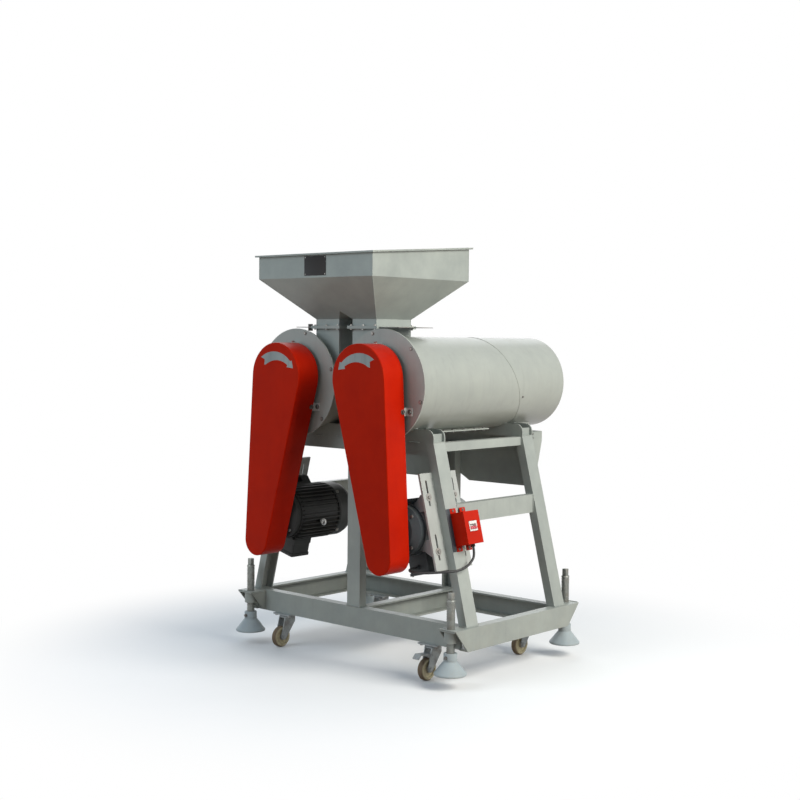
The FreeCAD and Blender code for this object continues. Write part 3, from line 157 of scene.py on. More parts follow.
grain = maths(settled_dust, 'MULTIPLY', ramp(settled_dust, cloud.outputs[0], 0.38, 0.62),
              ramp(settled_dust, specks.outputs[0], 0.30, 0.60))
settled_dust.links.new(add_node(settled_dust, 'ShaderNodeMath', {0: laid, 1: grain}, operation='MULTIPLY',
                                use_clamp=True).outputs[0], result.inputs['Mask'])

field_dust = (0.36, 0.31, 0.23)


def enamel(name, light, dark, bare=(0.17, 0.15, 0.13), rough=0.40, relief=0.10, wear=0.55, dust=0.35, runs=0.10,
           gloss=0.08, edge=0.0018, shine=0.30, sheen=(1.0, 1.0, 1.0)):
    """Sprayed enamel: two tones, faint runs, chipped edges down to steel and dust where it settles."""
    paint, tree, shader = blank_paint(name)
    skin = use_group(tree, sheet_skin)
    worn = use_group(tree, edge_wear, {'Radius': edge})
    dusty = use_group(tree, settled_dust)
    chip = maths(tree, 'MULTIPLY', worn.outputs['Mask'], wear)
    grey = maths(tree, 'MULTIPLY', dusty.outputs['Mask'], dust)
    coat = colours(tree, skin.outputs['Tone'], dark, light)
    coat = colours(tree, maths(tree, 'MULTIPLY', skin.outputs['Runs'], runs), coat, tuple(c * 0.55 for c in dark))
    coat = colours(tree, grey, coat, field_dust)
    coat = colours(tree, chip, coat, bare)
    tree.links.new(coat, shader.inputs['Base Color'])
    matt = maths(tree, 'MULTIPLY_ADD', grey, 0.35, maths(tree, 'MULTIPLY_ADD', skin.outputs['Tone'], 0.08, rough))
    tree.links.new(matt, shader.inputs['Roughness'])
    tree.links.new(maths(tree, 'MULTIPLY', chip, 0.8), shader.inputs['Metallic'])
    roughen(tree, shader, relief, 0.0009, skin.outputs['Height'])
    shader.inputs['Coat Weight'].default_value = gloss
    shader.inputs['Coat Roughness'].default_value = 0.18
    shader.inputs['Specular IOR Level'].default_value = shine
    shader.inputs['Specular Tint'].default_value = (*sheen, 1.0)
    return paint


def dress(finish, *names):
    """Gives CAD nodes their finish."""
    for name in names:
        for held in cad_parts[name].material_slots:
            held.material = finish


def take(*pieces):
    """Selects only these pieces, the first one active."""
    bpy.ops.object.select_all(action='DESELECT')
    for piece in pieces:
        piece.select_set(True)
    bpy.context.view_layer.objects.active = pieces[0]


def fit(name, parts, finish, body, angle=32):
    """Joins made parts into one named piece with its place in its mesh, finished and riding on its body."""
    take(*parts)
    bpy.ops.object.transform_apply(location=True, rotation=True, scale=True)
    if len(parts) > 1:
        bpy.ops.object.join()
    piece = bpy.context.object
    piece.name = name
    piece.data.name = name
    bpy.ops.object.mode_set(mode='EDIT')
    bpy.ops.mesh.select_all(action='SELECT')
    bpy.ops.mesh.normals_make_consistent(inside=False)
    bpy.ops.object.mode_set(mode='OBJECT')
    bpy.ops.object.shade_smooth_by_angle(angle=math.radians(angle))
    piece.data.materials.clear()
    piece.data.materials.append(finish)
    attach(piece, body)
    return piece


def weld(start, end, size=0.0036):
    """One run of overlapping weld ripples along a seam."""
    run = Vector(end) - Vector(start)
    count = max(3, round(run.length / (size * 0.85)))
    bpy.ops.object.select_all(action='DESELECT')
    bpy.ops.mesh.primitive_uv_sphere_add(segments=7, ring_count=4, radius=size)
    bead = bpy.context.object
    bpy.ops.object.mode_set(mode='EDIT')
    bpy.ops.transform.resize(value=(1.0, 1.0, 0.8), center_override=(0, 0, 0))
    bpy.ops.object.mode_set(mode='OBJECT')
    row = bead.modifiers.new('row', 'ARRAY')
    row.count = count
    row.use_relative_offset = False
    row.use_constant_offset = True
    row.constant_offset_displace = (0, 0, run.length / (count - 1))
    bpy.ops.object.modifier_apply(modifier='row')
    bead.rotation_mode = 'QUATERNION'
    bead.rotation_quaternion = run.to_track_quat('Z', 'Y')
    bead.location = start
    return bead


machine_paint = enamel('machine_paint', (0.330, 0.360, 0.335), (0.275, 0.302, 0.285))
dress(machine_paint, 'base_right_channel', 'base_left_channel', 'base_front_channel', 'base_rear_channel',
      'base_centre_channel', 'jack_brackets')
base_beads = []
for x in (-0.6495, 0.6495):
    for y in (-0.3665, 0.3665):
        base_beads.append(weld((x, y, 0.168), (x, y, 0.252)))
        base_beads.append(weld((x, y, 0.2603), (x, y * 0.87, 0.2603)))
for y in (-0.3185, 0.3185):
    base_beads.append(weld((-0.002, y, 0.2603), (0.046, y, 0.2603)))
    base_beads.append(weld((-0.0015, y, 0.17), (-0.0015, y, 0.25)))
fit('base_welds', base_beads, machine_paint, 'frame', 60)

# Levelling screws: coarse-threaded bars with a square head for a spanner, each
# in a nut welded under the corner plate, standing on a turned cone pad that a
# small set screw holds.  The bars are browned steel, the pads pale blue-grey.


def drawn_out(start, steps):
    """One point at the start, extruded step by step; left open in edit mode."""
    bpy.ops.object.select_all(action='DESELECT')
    bpy.ops.mesh.primitive_plane_add(size=0.01)
    bpy.ops.object.mode_set(mode='EDIT')
    bpy.ops.mesh.select_mode(type='VERT')
    bpy.ops.mesh.merge(type='CENTER')
    bpy.ops.transform.translate(value=start)
    for step in steps:
        bpy.ops.mesh.extrude_region_move(TRANSFORM_OT_translate={'value': step})
    return bpy.context.object


def turned(outline, steps=40):
    """Lathe work: an outline of (radius, height), spun round Z."""
    drawn_out((outline[0][0], 0, outline[0][1]),
              [(after[0] - before[0], 0, after[1] - before[1]) for before, after in zip(outline, outline[1:])])
    bpy.ops.mesh.select_all(action='SELECT')
    bpy.ops.mesh.spin(steps=steps, angle=2 * math.pi, center=(0, 0, 0), axis=(0, 0, 1))
    bpy.ops.mesh.select_all(action='SELECT')
    bpy.ops.mesh.remove_doubles(threshold=0.00001)
    bpy.ops.mesh.normals_make_consistent(inside=False)
    bpy.ops.object.mode_set(mode='OBJECT')
    return bpy.context.object


def soften(piece, width):
    """Rounds the sharp edges of a piece."""
    take(piece)
    edge = piece.modifiers.new('edge', 'BEVEL')
    edge.width = width
    edge.segments = 2
    edge.limit_method = 'ANGLE'
    edge.angle_limit = math.radians(30)
    bpy.ops.object.modifier_apply(modifier='edge')
    return piece


def brick(size, centre):
    """Sharp block given by its size and centre."""
    bpy.ops.object.select_all(action='DESELECT')
    bpy.ops.mesh.primitive_cube_add(size=1.0, location=centre)
    made = bpy.context.object
    made.scale = size
    take(made)
    bpy.ops.object.transform_apply(location=True, scale=True)
    return made


def block(size, centre, round_over=0.0008):
    """The same with its edges rounded."""
    return soften(brick(size, centre), round_over)


def flat_ring(inner, outer, height, steps):
    """Washer, or a disc where the inner radius is nothing."""
    return turned([(inner, 0.0), (outer, 0.0), (outer, height), (inner, height)], steps)


def hexagon(across, height):
    """Hexagon head or nut standing on the origin, its top face inset and raised a little."""
    bpy.ops.object.select_all(action='DESELECT')
    bpy.ops.mesh.primitive_cylinder_add(vertices=6, radius=across / math.sqrt(3), depth=height,
                                        location=(0, 0, height / 2))
    head = bpy.context.object
    bpy.ops.object.transform_apply(location=True)
    for face in head.data.polygons:
        face.select = face.normal.z > 0.9
    bpy.ops.object.mode_set(mode='EDIT')
    bpy.ops.mesh.select_mode(type='FACE')
    bpy.ops.mesh.inset(thickness=across * 0.09)
    bpy.ops.transform.translate(value=(0, 0, 0.0006))
    bpy.ops.object.mode_set(mode='OBJECT')
    return head


def turned_to(piece, spot, direction):
    """Stands a made piece on a spot, its Z along a direction."""
    piece.rotation_mode = 'QUATERNION'
    piece.rotation_quaternion = Vector(direction).to_track_quat('Z', 'Y')
    piece.location = spot
    return piece


def steel(name, light, dark, rough=0.42, metal=0.85, stretch=(1.0, 1.0, 1.0), grain=220.0, relief=0.12, stain=0.35):
    """Bare or browned steel: drawn grain, stains and polished edges."""
    made, tree, shader = blank_paint(name)
    spot = own_place(tree)
    drawn_out = add_node(tree, 'ShaderNodeMapping', {'Vector': spot, 'Scale': stretch}).outputs[0]
    lines = noise(tree, drawn_out, grain, 3.0)
    patches = noise(tree, spot, 31.0, 6.0)
    worn = use_group(tree, edge_wear, {'Radius': 0.0012})
    stained = maths(tree, 'MULTIPLY', ramp(tree, patches, 0.48, 0.66), stain)
    colour = colours(tree, ramp(tree, lines, 0.32, 0.68), dark, light)
    colour = colours(tree, stained, colour, (0.13, 0.065, 0.030))
    colour = colours(tree, maths(tree, 'MULTIPLY', worn.outputs['Mask'], 0.6), colour, (0.62, 0.60, 0.57))
    tree.links.new(colour, shader.inputs['Base Color'])
    tree.links.new(maths(tree, 'MULTIPLY_ADD', stained, 0.4, rough), shader.inputs['Roughness'])
    tree.links.new(maths(tree, 'SUBTRACT', metal, stained), shader.inputs['Metallic'])
    roughen(tree, shader, relief, 0.0004, lines)
    return made


screw_steel = steel('browned_screw', (0.29, 0.305, 0.285), (0.185, 0.195, 0.18), rough=0.44, metal=0.75,
                    stretch=(1, 1, 9), stain=0.28)
dark_bolt = steel('dark_bolt', (0.20, 0.195, 0.185), (0.12, 0.118, 0.11), rough=0.34, metal=0.8, grain=300.0,
                  stain=0.3)
screw_x, screw_y = 0.641, 0.428
corners = (('front_right', 1, -1), ('front_left', -1, -1), ('rear_right', 1, 1), ('rear_left', -1, 1))
pad_paint = enamel('pad_paint', (0.36, 0.42, 0.44), (0.30, 0.355, 0.38), rough=0.46, wear=0.6, dust=0.55, gloss=0.05)
for corner, side, end in corners:
    x, y = side * screw_x, end * screw_y
    thread = drawn_out((0.0190, 0, 0.093), ((0, 0, 0.0025), (-0.0024, 0, 0.0012), (0, 0, 0.0021), (0.0024, 0, 0.0012)))
    bpy.ops.object.mode_set(mode='OBJECT')
    helix = thread.modifiers.new('helix', 'SCREW')
    helix.axis = 'Z'
    helix.screw_offset = 0.007
    helix.iterations = 41
    helix.steps = 24
    helix.render_steps = 24
    helix.use_merge_vertices = True
    helix.merge_threshold = 0.0001
    bpy.ops.object.modifier_apply(modifier='helix')
    core = turned([(0.0, 0.092), (0.0168, 0.092), (0.0168, 0.380), (0.0190, 0.3805), (0.0190, 0.3845), (0.0174, 0.387),
                   (0.0, 0.387)])
    square = block((0.022, 0.022, 0.0336), (0, 0, 0.4028), 0.0016)
    for part in (thread, core, square):
        part.location = (x, y, 0)
    fit('screw_bar_' + corner, [thread, core, square], screw_steel, 'levelling_screw_' + corner, 40)
    cone = turned([(0.0, 0.0610), (0.068, 0.0610), (0.0706, 0.0616), (0.0719, 0.0635), (0.0719, 0.0690),
                   (0.0705, 0.0712), (0.0685, 0.0724), (0.0345, 0.1168), (0.0308, 0.1200), (0.0299, 0.1240),
                   (0.0299, 0.1545), (0.0292, 0.1563), (0.0275, 0.1569), (0.0202, 0.1569), (0.0194, 0.1560),
                   (0.0194, 0.0920), (0.0, 0.0920)], 64)
    rim = turned([(0.0290, 0.1268), (0.0306, 0.1268), (0.0306, 0.1296), (0.0290, 0.1296)], 48)
    for part in (cone, rim):
        part.location = (x, y, 0)
    fit('cone_pad_' + corner, [cone, rim], pad_paint, 'levelling_screw_' + corner, 34)
    lug = turned_to(turned([(0.0, 0.0), (0.0085, 0.0), (0.0085, 0.0022), (0.0070, 0.0034), (0.0, 0.0034)], 24),
                    (x, y + end * 0.0285, 0.139), (0, end, 0))
    lock = turned_to(hexagon(0.012, 0.0058), (x, y + end * 0.0318, 0.139), (0, end, 0))
    screw = fit('set_screw_' + corner, [lug, lock], dark_bolt, 'levelling_screw_' + corner)
    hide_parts('levelling_screw_' + corner)

# Corner plates that the screws pass through: plate, slanted gusset and a nut
# welded under the plate, with a bead all round the nut and along the gusset.
nut_beads = []
for side in (-1, 1):
    for end in (-1, 1):
        x, y = side * screw_x, end * screw_y
        bpy.ops.object.select_all(action='DESELECT')
        bpy.ops.mesh.primitive_torus_add(major_segments=44, minor_segments=8, major_radius=0.0295, minor_radius=0.0032,
                                         location=(x, y, 0.2515))
        nut_beads.append(bpy.context.object)
        nut_beads.append(weld((side * 0.598, end * 0.372, 0.2515), (side * 0.598, end * 0.448, 0.2515), 0.003))
        nut_beads.append(weld((side * 0.600, end * 0.4625, 0.2606), (side * 0.688, end * 0.4625, 0.2606), 0.0026))
fit('corner_plate_welds', nut_beads, machine_paint, 'frame', 60)

# Swivel casters: pressed forks in worn grey paint on ball races, axle nuts,
# moulded wheels whose tread has gone brown with use, one with a foot brake.
caster_grey = steel('caster_zinc', (0.36, 0.39, 0.395), (0.27, 0.295, 0.30), rough=0.44, metal=0.3, grain=140.0,
                    stain=0.25)
dress(caster_grey, 'caster_plates', 'brake_pedal', *('caster_fork_' + corner for corner, _, _ in corners))
caster_x, caster_y, trail, axle_z = 0.470, 0.342, 0.042, 0.050
for corner, side, end in corners:
    x, y = side * caster_x, end * caster_y
    tyre, tree, shader = blank_paint('caster_tyre_' + corner)
    spot = own_place(tree)
    centred = add_node(tree, 'ShaderNodeMapping', {'Vector': spot, 'Location': (-x, -(y - trail), -axle_z)}).outputs[0]
    flat = add_node(tree, 'ShaderNodeVectorMath', {0: centred, 1: (0, 1, 1)}, operation='MULTIPLY').outputs[0]
    away = add_node(tree, 'ShaderNodeVectorMath', {0: flat}, operation='LENGTH').outputs['Value']
    smear = noise(tree, spot, 70.0, 6.0)
    tread = ramp(tree, maths(tree, 'MULTIPLY_ADD', smear, 0.006, away), 0.0455, 0.0515)
    hub = ramp(tree, away, 0.0150, 0.0144)
    colour = colours(tree, ramp(tree, smear, 0.35, 0.65), (0.40, 0.35, 0.215), (0.56, 0.51, 0.34))
    colour = colours(tree, tread, colour, (0.145, 0.105, 0.065))
    colour = colours(tree, hub, colour, (0.30, 0.29, 0.27))
    tree.links.new(colour, shader.inputs['Base Color'])
    tree.links.new(maths(tree, 'MULTIPLY_ADD', tread, 0.35, 0.42), shader.inputs['Roughness'])
    roughen(tree, shader, 0.35, 0.0008, smear)
    dress(tyre, 'caster_wheel_' + corner)
    race = turned([(0.0335, 0.1399), (0.0352, 0.1399), (0.0372, 0.1430), (0.0372, 0.1470), (0.0350, 0.1490),
                   (0.0335, 0.1490)], 48)
    race.location = (x, y, 0)
    ends = [race]
    for out in (-1, 1):
        ends.append(turned_to(hexagon(0.016, 0.0052), (x + out * 0.0222, y - trail, axle_z), (out, 0, 0)))
        washer = flat_ring(0.0061, 0.0120, 0.0014, 28)
        ends.append(turned_to(washer, (x + out * 0.0221, y - trail, axle_z), (out, 0, 0)))
    fit('caster_race_and_nuts_' + corner, ends, caster_grey, 'caster_fork_' + corner)

# Legs, posts, beams and rails: 80 mm channel splayed outward, cross beams,
# angle-iron rails and the two saddles that the drums lie in, all welded up.
leg_slope = math.atan2(0.200, 0.788)


def leg_face(z):
    """X of the right legs' outer face at height z."""
    return 0.680 - (z - 0.260) * math.tan(leg_slope)


dress(machine_paint, 'leg_rear_right', 'leg_rear_left', 'post_front', 'post_rear', 'beam_front', 'beam_rear',
      'saddle_front', 'saddle_rear')
# A lighter copy of the frame enamel for the front legs and rails: painted light, for the light they catch from the
# right under the drums.
painted_light_rail_paint = enamel('painted_light_rail_paint', (0.365, 0.395, 0.368), (0.305, 0.333, 0.315))
dress(painted_light_rail_paint, 'leg_front_right', 'leg_front_left', 'top_rail_right', 'top_rail_left', 'mid_rail_right',
      'mid_rail_left')
frame_beads = []
for end in (-1, 1):
    for side in (-1, 1):
        frame_beads.append(weld((side * 0.681, end * 0.364, 0.2615), (side * 0.681, end * 0.288, 0.2615)))
        frame_beads.append(weld((side * 0.677, end * 0.3665, 0.2615), (side * 0.638, end * 0.3665, 0.2615)))
        frame_beads.append(weld((side * leg_face(0.776), end * 0.2862, 0.776),
                                (side * leg_face(0.776), end * 0.2862, 0.700)))
        frame_beads.append(weld((side * 0.471, end * 0.2862, 1.044), (side * 0.471, end * 0.2862, 1.012), 0.003))
        frame_beads.append(weld((side * 0.476, end * 0.364, 1.0487), (side * 0.476, end * 0.290, 1.0487), 0.003))
        frame_beads.append(weld((side * 0.0405, end * 0.3662, 0.2615), (side * 0.002, end * 0.3662, 0.2615)))
        frame_beads.append(weld((side * 0.0405, end * 0.3662, 0.9915), (side * 0.002, end * 0.3662, 0.9915), 0.003))
        for x in (0.06, 0.20, 0.34):
            frame_beads.append(weld((side * x, end * 0.3667, 1.0484), (side * (x + 0.055), end * 0.3667, 1.0484),
                                    0.003))
for y in (-0.3668, -0.2852):
    for step in range(6):
        run = [(0.6600 - 0.2463 * along, 0.1677 + 0.9692 * along)
               for along in (0.365 + 0.07 * step, 0.400 + 0.07 * step)]
        for side in (-1, 1):
            frame_beads.append(weld((side * run[0][0], y, run[0][1]), (side * run[1][0], y, run[1][1]), 0.0035))
for side in (-1, 1):
    for y in (-0.363, -0.289, 0.289, 0.363):
        frame_beads.append(weld((side * 0.3757, y - 0.006, 1.1087), (side * 0.3757, y + 0.006, 1.1087), 0.0036))
fit('frame_welds', frame_beads, machine_paint, 'frame', 60)

# Motor plates and the bolts through their slots, flange bolts, hopper bolts and
# caster nuts: zinc-plated fasteners that have started to brown.
plate_paint = enamel('plate_paint', (0.41, 0.43, 0.41), (0.345, 0.365, 0.345), rough=0.40, wear=0.8, dust=0.3)
dress(plate_paint, 'motor_plate_right', 'motor_plate_left')
bolt_steel = steel('bolt_steel', (0.38, 0.375, 0.355), (0.26, 0.255, 0.24), rough=0.36, metal=0.8, grain=300.0,
                   stain=0.4)
dress(bolt_steel, 'frame_bolts')

slot_washers = []
for side in (-1, 1):
    for along in (0.43055, 0.67055):
        for y in (-0.412, -0.234):
            seat = Vector((side * (0.6591 - 0.2463 * along), y, 0.1675 + 0.9692 * along))
            washer = flat_ring(0.0, 0.0170, 0.0030, 32)
            slot_washers.append(turned_to(washer, seat, (side * 0.9692, 0, 0.2463)))
washer_zinc = steel('washer_zinc', (0.50, 0.49, 0.46), (0.36, 0.35, 0.33), rough=0.36, metal=0.8, grain=300.0,
                    stain=0.3)
fit('slot_washers', slot_washers, washer_zinc, 'frame')

# Motors: finned cast frames with a stepped end bell, fan cowl, terminal box and
# lifting eye, near black; the right one is painted lighter, and paler still on
# its feet and fins by the plate, as painted light.  Screws with washers hold the
# cowl, four more the box lid.
# The right motor's two tones are lighter than the left's: painted light, for the light that falls on it from the right.
for label, side, light, dark in (('right', 1, (0.055, 0.066, 0.072), (0.034, 0.042, 0.047)),
                                 ('left', -1, (0.022, 0.023, 0.022), (0.012, 0.013, 0.013))):
    motor_paint = enamel('motor_paint_' + label, light, dark, bare=(0.10, 0.10, 0.10), rough=0.42, relief=0.25,
                         wear=0.45, dust=0.20, runs=0.0, gloss=0.05)
    tree = motor_paint.node_tree
    shader = tree.nodes['Principled BSDF']
    spot = own_place(tree)
    eye = add_node(tree, 'ShaderNodeVectorMath', {0: spot, 1: (side * 0.2417, -0.323, 0.6293)},
                   operation='DISTANCE').outputs['Value']
    bright = ramp(tree, eye, 0.0186, 0.0180)
    painted = shader.inputs['Base Color'].links[0].from_socket
    # Pale patch on the right motor's feet and fins next to the plate: painted light, where light reaches them past the
    # plate.
    if side > 0:
        split = add_node(tree, 'ShaderNodeSeparateXYZ', {'Vector': spot})
        toward_plate = maths(tree, 'MULTIPLY_ADD', split.outputs['X'], 0.9692,
                             maths(tree, 'MULTIPLY', split.outputs['Z'], 0.2463))
        painted_light_patch = maths(tree, 'MULTIPLY', ramp(tree, toward_plate, 0.598, 0.640),
                        ramp(tree, split.outputs['Y'], -0.4375, -0.4365))
        painted = colours(tree, maths(tree, 'MULTIPLY', painted_light_patch, 0.85), painted, (0.36, 0.38, 0.38))
    tree.links.new(colours(tree, bright, painted, (0.62, 0.62, 0.60)), shader.inputs['Base Color'])
    tree.links.new(maths(tree, 'MULTIPLY', bright, 0.8), shader.inputs['Metallic'])
    dress(motor_paint, 'motor_' + label)
shaft_steel = steel('shaft_steel', (0.56, 0.56, 0.55), (0.44, 0.44, 0.43), rough=0.28, metal=0.95, stretch=(1, 14, 1),
                    grain=90.0, stain=0.2)
dress(shaft_steel, 'motor_shaft_right', 'motor_shaft_left')
for label, side in (('right', 1), ('left', -1)):
    centre = Vector((side * 0.38609, 0, 0.666))
    cap_screws = []
    for turn in (45, 135, 225, 315):
        angle = math.radians(turn)
        out = Vector((math.cos(angle), 0, math.sin(angle)))
        base = flat_ring(0.0, 0.0085, 0.0016, 20)
        cap_screws.append(turned_to(base, centre + out * 0.1305 + Vector((0, -0.179, 0)), out))
        cap_screws.append(turned_to(hexagon(0.010, 0.0045), centre + out * 0.1318 + Vector((0, -0.179, 0)), out))
        cap_screws.append(turned_to(hexagon(0.013, 0.0060), centre + out * 0.0980 + Vector((0, -0.4750, 0)),
                                    (0, -1, 0)))
    lean = Matrix.Rotation(-leg_slope * side, 4, 'Y')
    for over in (-0.048, 0.048):
        for along in (-0.048, 0.048):
            spot = centre + lean @ Vector((over, 0, -0.2068)) + Vector((0, -0.343 + along, 0))
            cap_screws.append(turned_to(hexagon(0.008, 0.0032), spot, lean @ Vector((0, 0, -1))))
    fit('motor_screws_' + label, cap_screws, bolt_steel, 'frame')

# Drive: three V-belts from the small cast pulley on each motor to the large one
# on each drum shaft.  The belts are matt black rubber, dusty on their backs.
belt_rubber, tree, shader = blank_paint('belt_rubber')
spot = own_place(tree)
fabric = noise(tree, spot, 900.0, 2.0)
powder = noise(tree, spot, 22.0, 6.0)
tree.links.new(colours(tree, ramp(tree, powder, 0.45, 0.75), (0.018, 0.018, 0.019), (0.085, 0.078, 0.066)),
               shader.inputs['Base Color'])
tree.links.new(maths(tree, 'MULTIPLY_ADD', fabric, 0.2, 0.62), shader.inputs['Roughness'])
roughen(tree, shader, 0.3, 0.0003, fabric)
dress(belt_rubber, 'drive_belts')

# Belt covers: teardrop boxes of folded sheet in red enamel, hung on flat-bar
# brackets.  Each face carries a printed arrow, thin as paint, that shows which
# way the pulley turns; a butt weld crosses each side where two strips meet.
cover_paint = enamel('cover_paint', (0.44, 0.0100, 0.0010), (0.375, 0.0070, 0.0008), bare=(0.30, 0.05, 0.035),
                     rough=0.34, relief=0.12, wear=0.4, dust=0.06, runs=0.08, gloss=0.0, shine=0.14,
                     sheen=(1.0, 0.42, 0.18))
tree = cover_paint.node_tree
shader = tree.nodes['Principled BSDF']
back = add_node(tree, 'ShaderNodeSeparateXYZ', {'Vector': own_place(tree)}).outputs['Y']
red = shader.inputs['Base Color'].links[0].from_socket
grey_strip = colours(tree, ramp(tree, back, -0.50195, -0.5019), red, (0.50, 0.52, 0.50))
tree.links.new(grey_strip, shader.inputs['Base Color'])
dress(cover_paint, 'belt_cover_right', 'belt_cover_left')
arrow_print = enamel('arrow_print', (0.33, 0.36, 0.35), (0.24, 0.27, 0.27), bare=(0.33, 0.06, 0.035), rough=0.5,
                     relief=0.1, wear=0.6, dust=0.1, runs=0.5, gloss=0.0, edge=0.003)
cover_front = -0.62525
arrow_outline = [(0.1442, 1.3689), (0.1530, 1.4043), (0.1635, 1.4010)]
for step in range(13):
    angle = math.radians(133.7 - 6.5 * step)
    arrow_outline.append((0.2712 + 0.1554 * math.cos(angle), 1.2892 + 0.1554 * math.sin(angle)))
arrow_outline += [(0.3338, 1.4077), (0.3352, 1.3818)]
for step in range(11):
    angle = math.radians(58.0 + 6.5 * step)
    arrow_outline.append((0.2535 + 0.1320 * math.cos(angle), 1.2727 + 0.1320 * math.sin(angle)))
arrow_outline.append((0.1864, 1.3738))
for label, side in (('right', 1), ('left', -1)):
    arrow = drawn_out((side * arrow_outline[0][0], cover_front, arrow_outline[0][1]),
                      [(side * (after[0] - before[0]), 0, after[1] - before[1])
                       for before, after in zip(arrow_outline, arrow_outline[1:])])
    bpy.ops.mesh.select_all(action='SELECT')
    bpy.ops.mesh.edge_face_add()
    bpy.ops.object.mode_set(mode='OBJECT')
    film = arrow.modifiers.new('film', 'SOLIDIFY')
    film.thickness = 0.0003
    film.offset = 0.0
    bpy.ops.object.modifier_apply(modifier='film')
    fit('turning_arrow_' + label, [arrow], arrow_print, 'frame')
    seam = weld((side * 0.4285, -0.622, 1.010), (side * 0.4285, -0.505, 1.010), 0.0016)
    fit('cover_seam_' + label, [seam], cover_paint, 'frame', 60)
    cover_screws = []
    for x, z, out_x, out_z in ((0.42657, 1.190, 0.9983, 0.0591), (0.1390, 1.190, -0.9634, -0.2681),
                               (0.262, 1.486, 0, 1)):
        seat, out = Vector((side * x, -0.513, z)), Vector((side * out_x, 0, out_z))
        washer = turned([(0.0, 0.0), (0.0115, 0.0), (0.0112, 0.0024), (0.0, 0.0024)], 28)
        cover_screws += [turned_to(washer, seat, out), turned_to(hexagon(0.0136, 0.0066), seat + out * 0.0020, out)]
    for x, z in ((0.4425, 1.190), (0.1271, 1.190), (0.262, 1.4635)):
        washer = turned([(0.0, 0.0), (0.0115, 0.0), (0.0112, 0.0018), (0.0, 0.0018)], 28)
        cover_screws.append(turned_to(washer, (side * x, -0.4838, z), (0, -1, 0)))
        cover_screws.append(turned_to(hexagon(0.0136, 0.0068), (side * x, -0.4838, z), (0, -1, 0)))
    fit('cover_screws_' + label, cover_screws, dark_bolt, 'frame')

# Drums: rolled sheet casings with bolted strips and outlet spout, thick front
# flanges and flat rear covers, enamelled like the base.  The sheet was wound a
# little askew, so the seam band of each casing's copy is laid at a slant.
drum_x, drum_z, shell_radius, seam_slant = 0.272, 1.300, 0.2172, 0.43
drum_paint = enamel('drum_paint', (0.340, 0.362, 0.332), (0.302, 0.325, 0.300), rough=0.33, relief=0.16, wear=0.5,
                    dust=0.22, runs=0.14, gloss=0.25)
dress(drum_paint, 'drum_casing_right', 'drum_casing_left', 'drum_front_flanges', 'drum_rear_covers')
for label, side in (('right', 1), ('left', -1)):
    rolled = bpy.data.objects.new('drum_shell_' + label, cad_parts['drum_casing_' + label].data.copy())
    bpy.context.collection.objects.link(rolled)
    take(rolled)
    bpy.ops.object.mode_set(mode='EDIT')
    bpy.ops.mesh.select_all(action='SELECT')
    bpy.ops.mesh.remove_doubles(threshold=0.00001)
    bpy.ops.object.mode_set(mode='OBJECT')
    for corner in rolled.data.vertices:
        off_axis = math.hypot(corner.co.x - side * drum_x, corner.co.z - drum_z)
        if off_axis > shell_radius and 0.2365 < corner.co.y < 0.2455:
            corner.co.y -= seam_slant * (corner.co.z - drum_z) + 0.004
    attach(rolled, 'frame')
    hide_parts('drum_casing_' + label)
bearing_paint = enamel('bearing_paint', (0.30, 0.33, 0.32), (0.22, 0.25, 0.25), rough=0.5, relief=0.5, wear=0.5,
                       dust=0.4, runs=0.0, gloss=0.05)
dress(bearing_paint, 'bearing_units')
for label, side in (('right', 1), ('left', -1)):
    fixings = []
    for step in range(6):
        angle = math.radians(-16 + 60 * step)
        washer = flat_ring(0.0031, 0.0095, 0.0016, 24)
        rim_x, rim_z = side * (drum_x + 0.237 * math.cos(angle)), drum_z + 0.237 * math.sin(angle)
        fixings.append(turned_to(washer, (rim_x, -0.4798, rim_z), (0, -1, 0)))
        fixings.append(turned_to(hexagon(0.010, 0.005), (rim_x, -0.4718, rim_z), (0, 1, 0)))
    for step in range(4):
        angle = math.pi * (step + 0.5) / 2
        off_x, off_z = 0.053 * math.cos(angle), 0.053 * math.sin(angle)
        for y, way in ((-0.4915, -1), (0.6175, 1)):
            fixings.append(turned_to(hexagon(0.012, 0.006), (side * drum_x + off_x, y, drum_z + off_z), (0, way, 0)))
    for step in range(4):
        angle = math.pi * (step + 0.5) / 2
        fixings.append(turned_to(hexagon(0.010, 0.005), (side * drum_x + 0.196 * math.cos(angle), 0.6058,
                                                         drum_z + 0.196 * math.sin(angle)), (0, 1, 0)))
    for y in (-0.205, -0.14, -0.06, 0.02, 0.085):
        for over in (-0.130, 0.130):
            fixings.append(turned_to(hexagon(0.010, 0.005), (side * (drum_x + over), y, 1.0945), (0, 0, 1)))
            fixings.append(turned_to(hexagon(0.010, 0.005), (side * (drum_x + over), y, 1.0895), (0, 0, -1)))
    grip = math.radians(-16)
    fixings.append(turned_to(hexagon(0.009, 0.004), (side * (drum_x + 0.2182 * math.cos(grip)), 0.284,
                                                     drum_z + 0.2182 * math.sin(grip)),
                             (side * math.cos(grip), 0, math.sin(grip))))
    fit('drum_fixings_' + label, fixings, dark_bolt, 'frame')

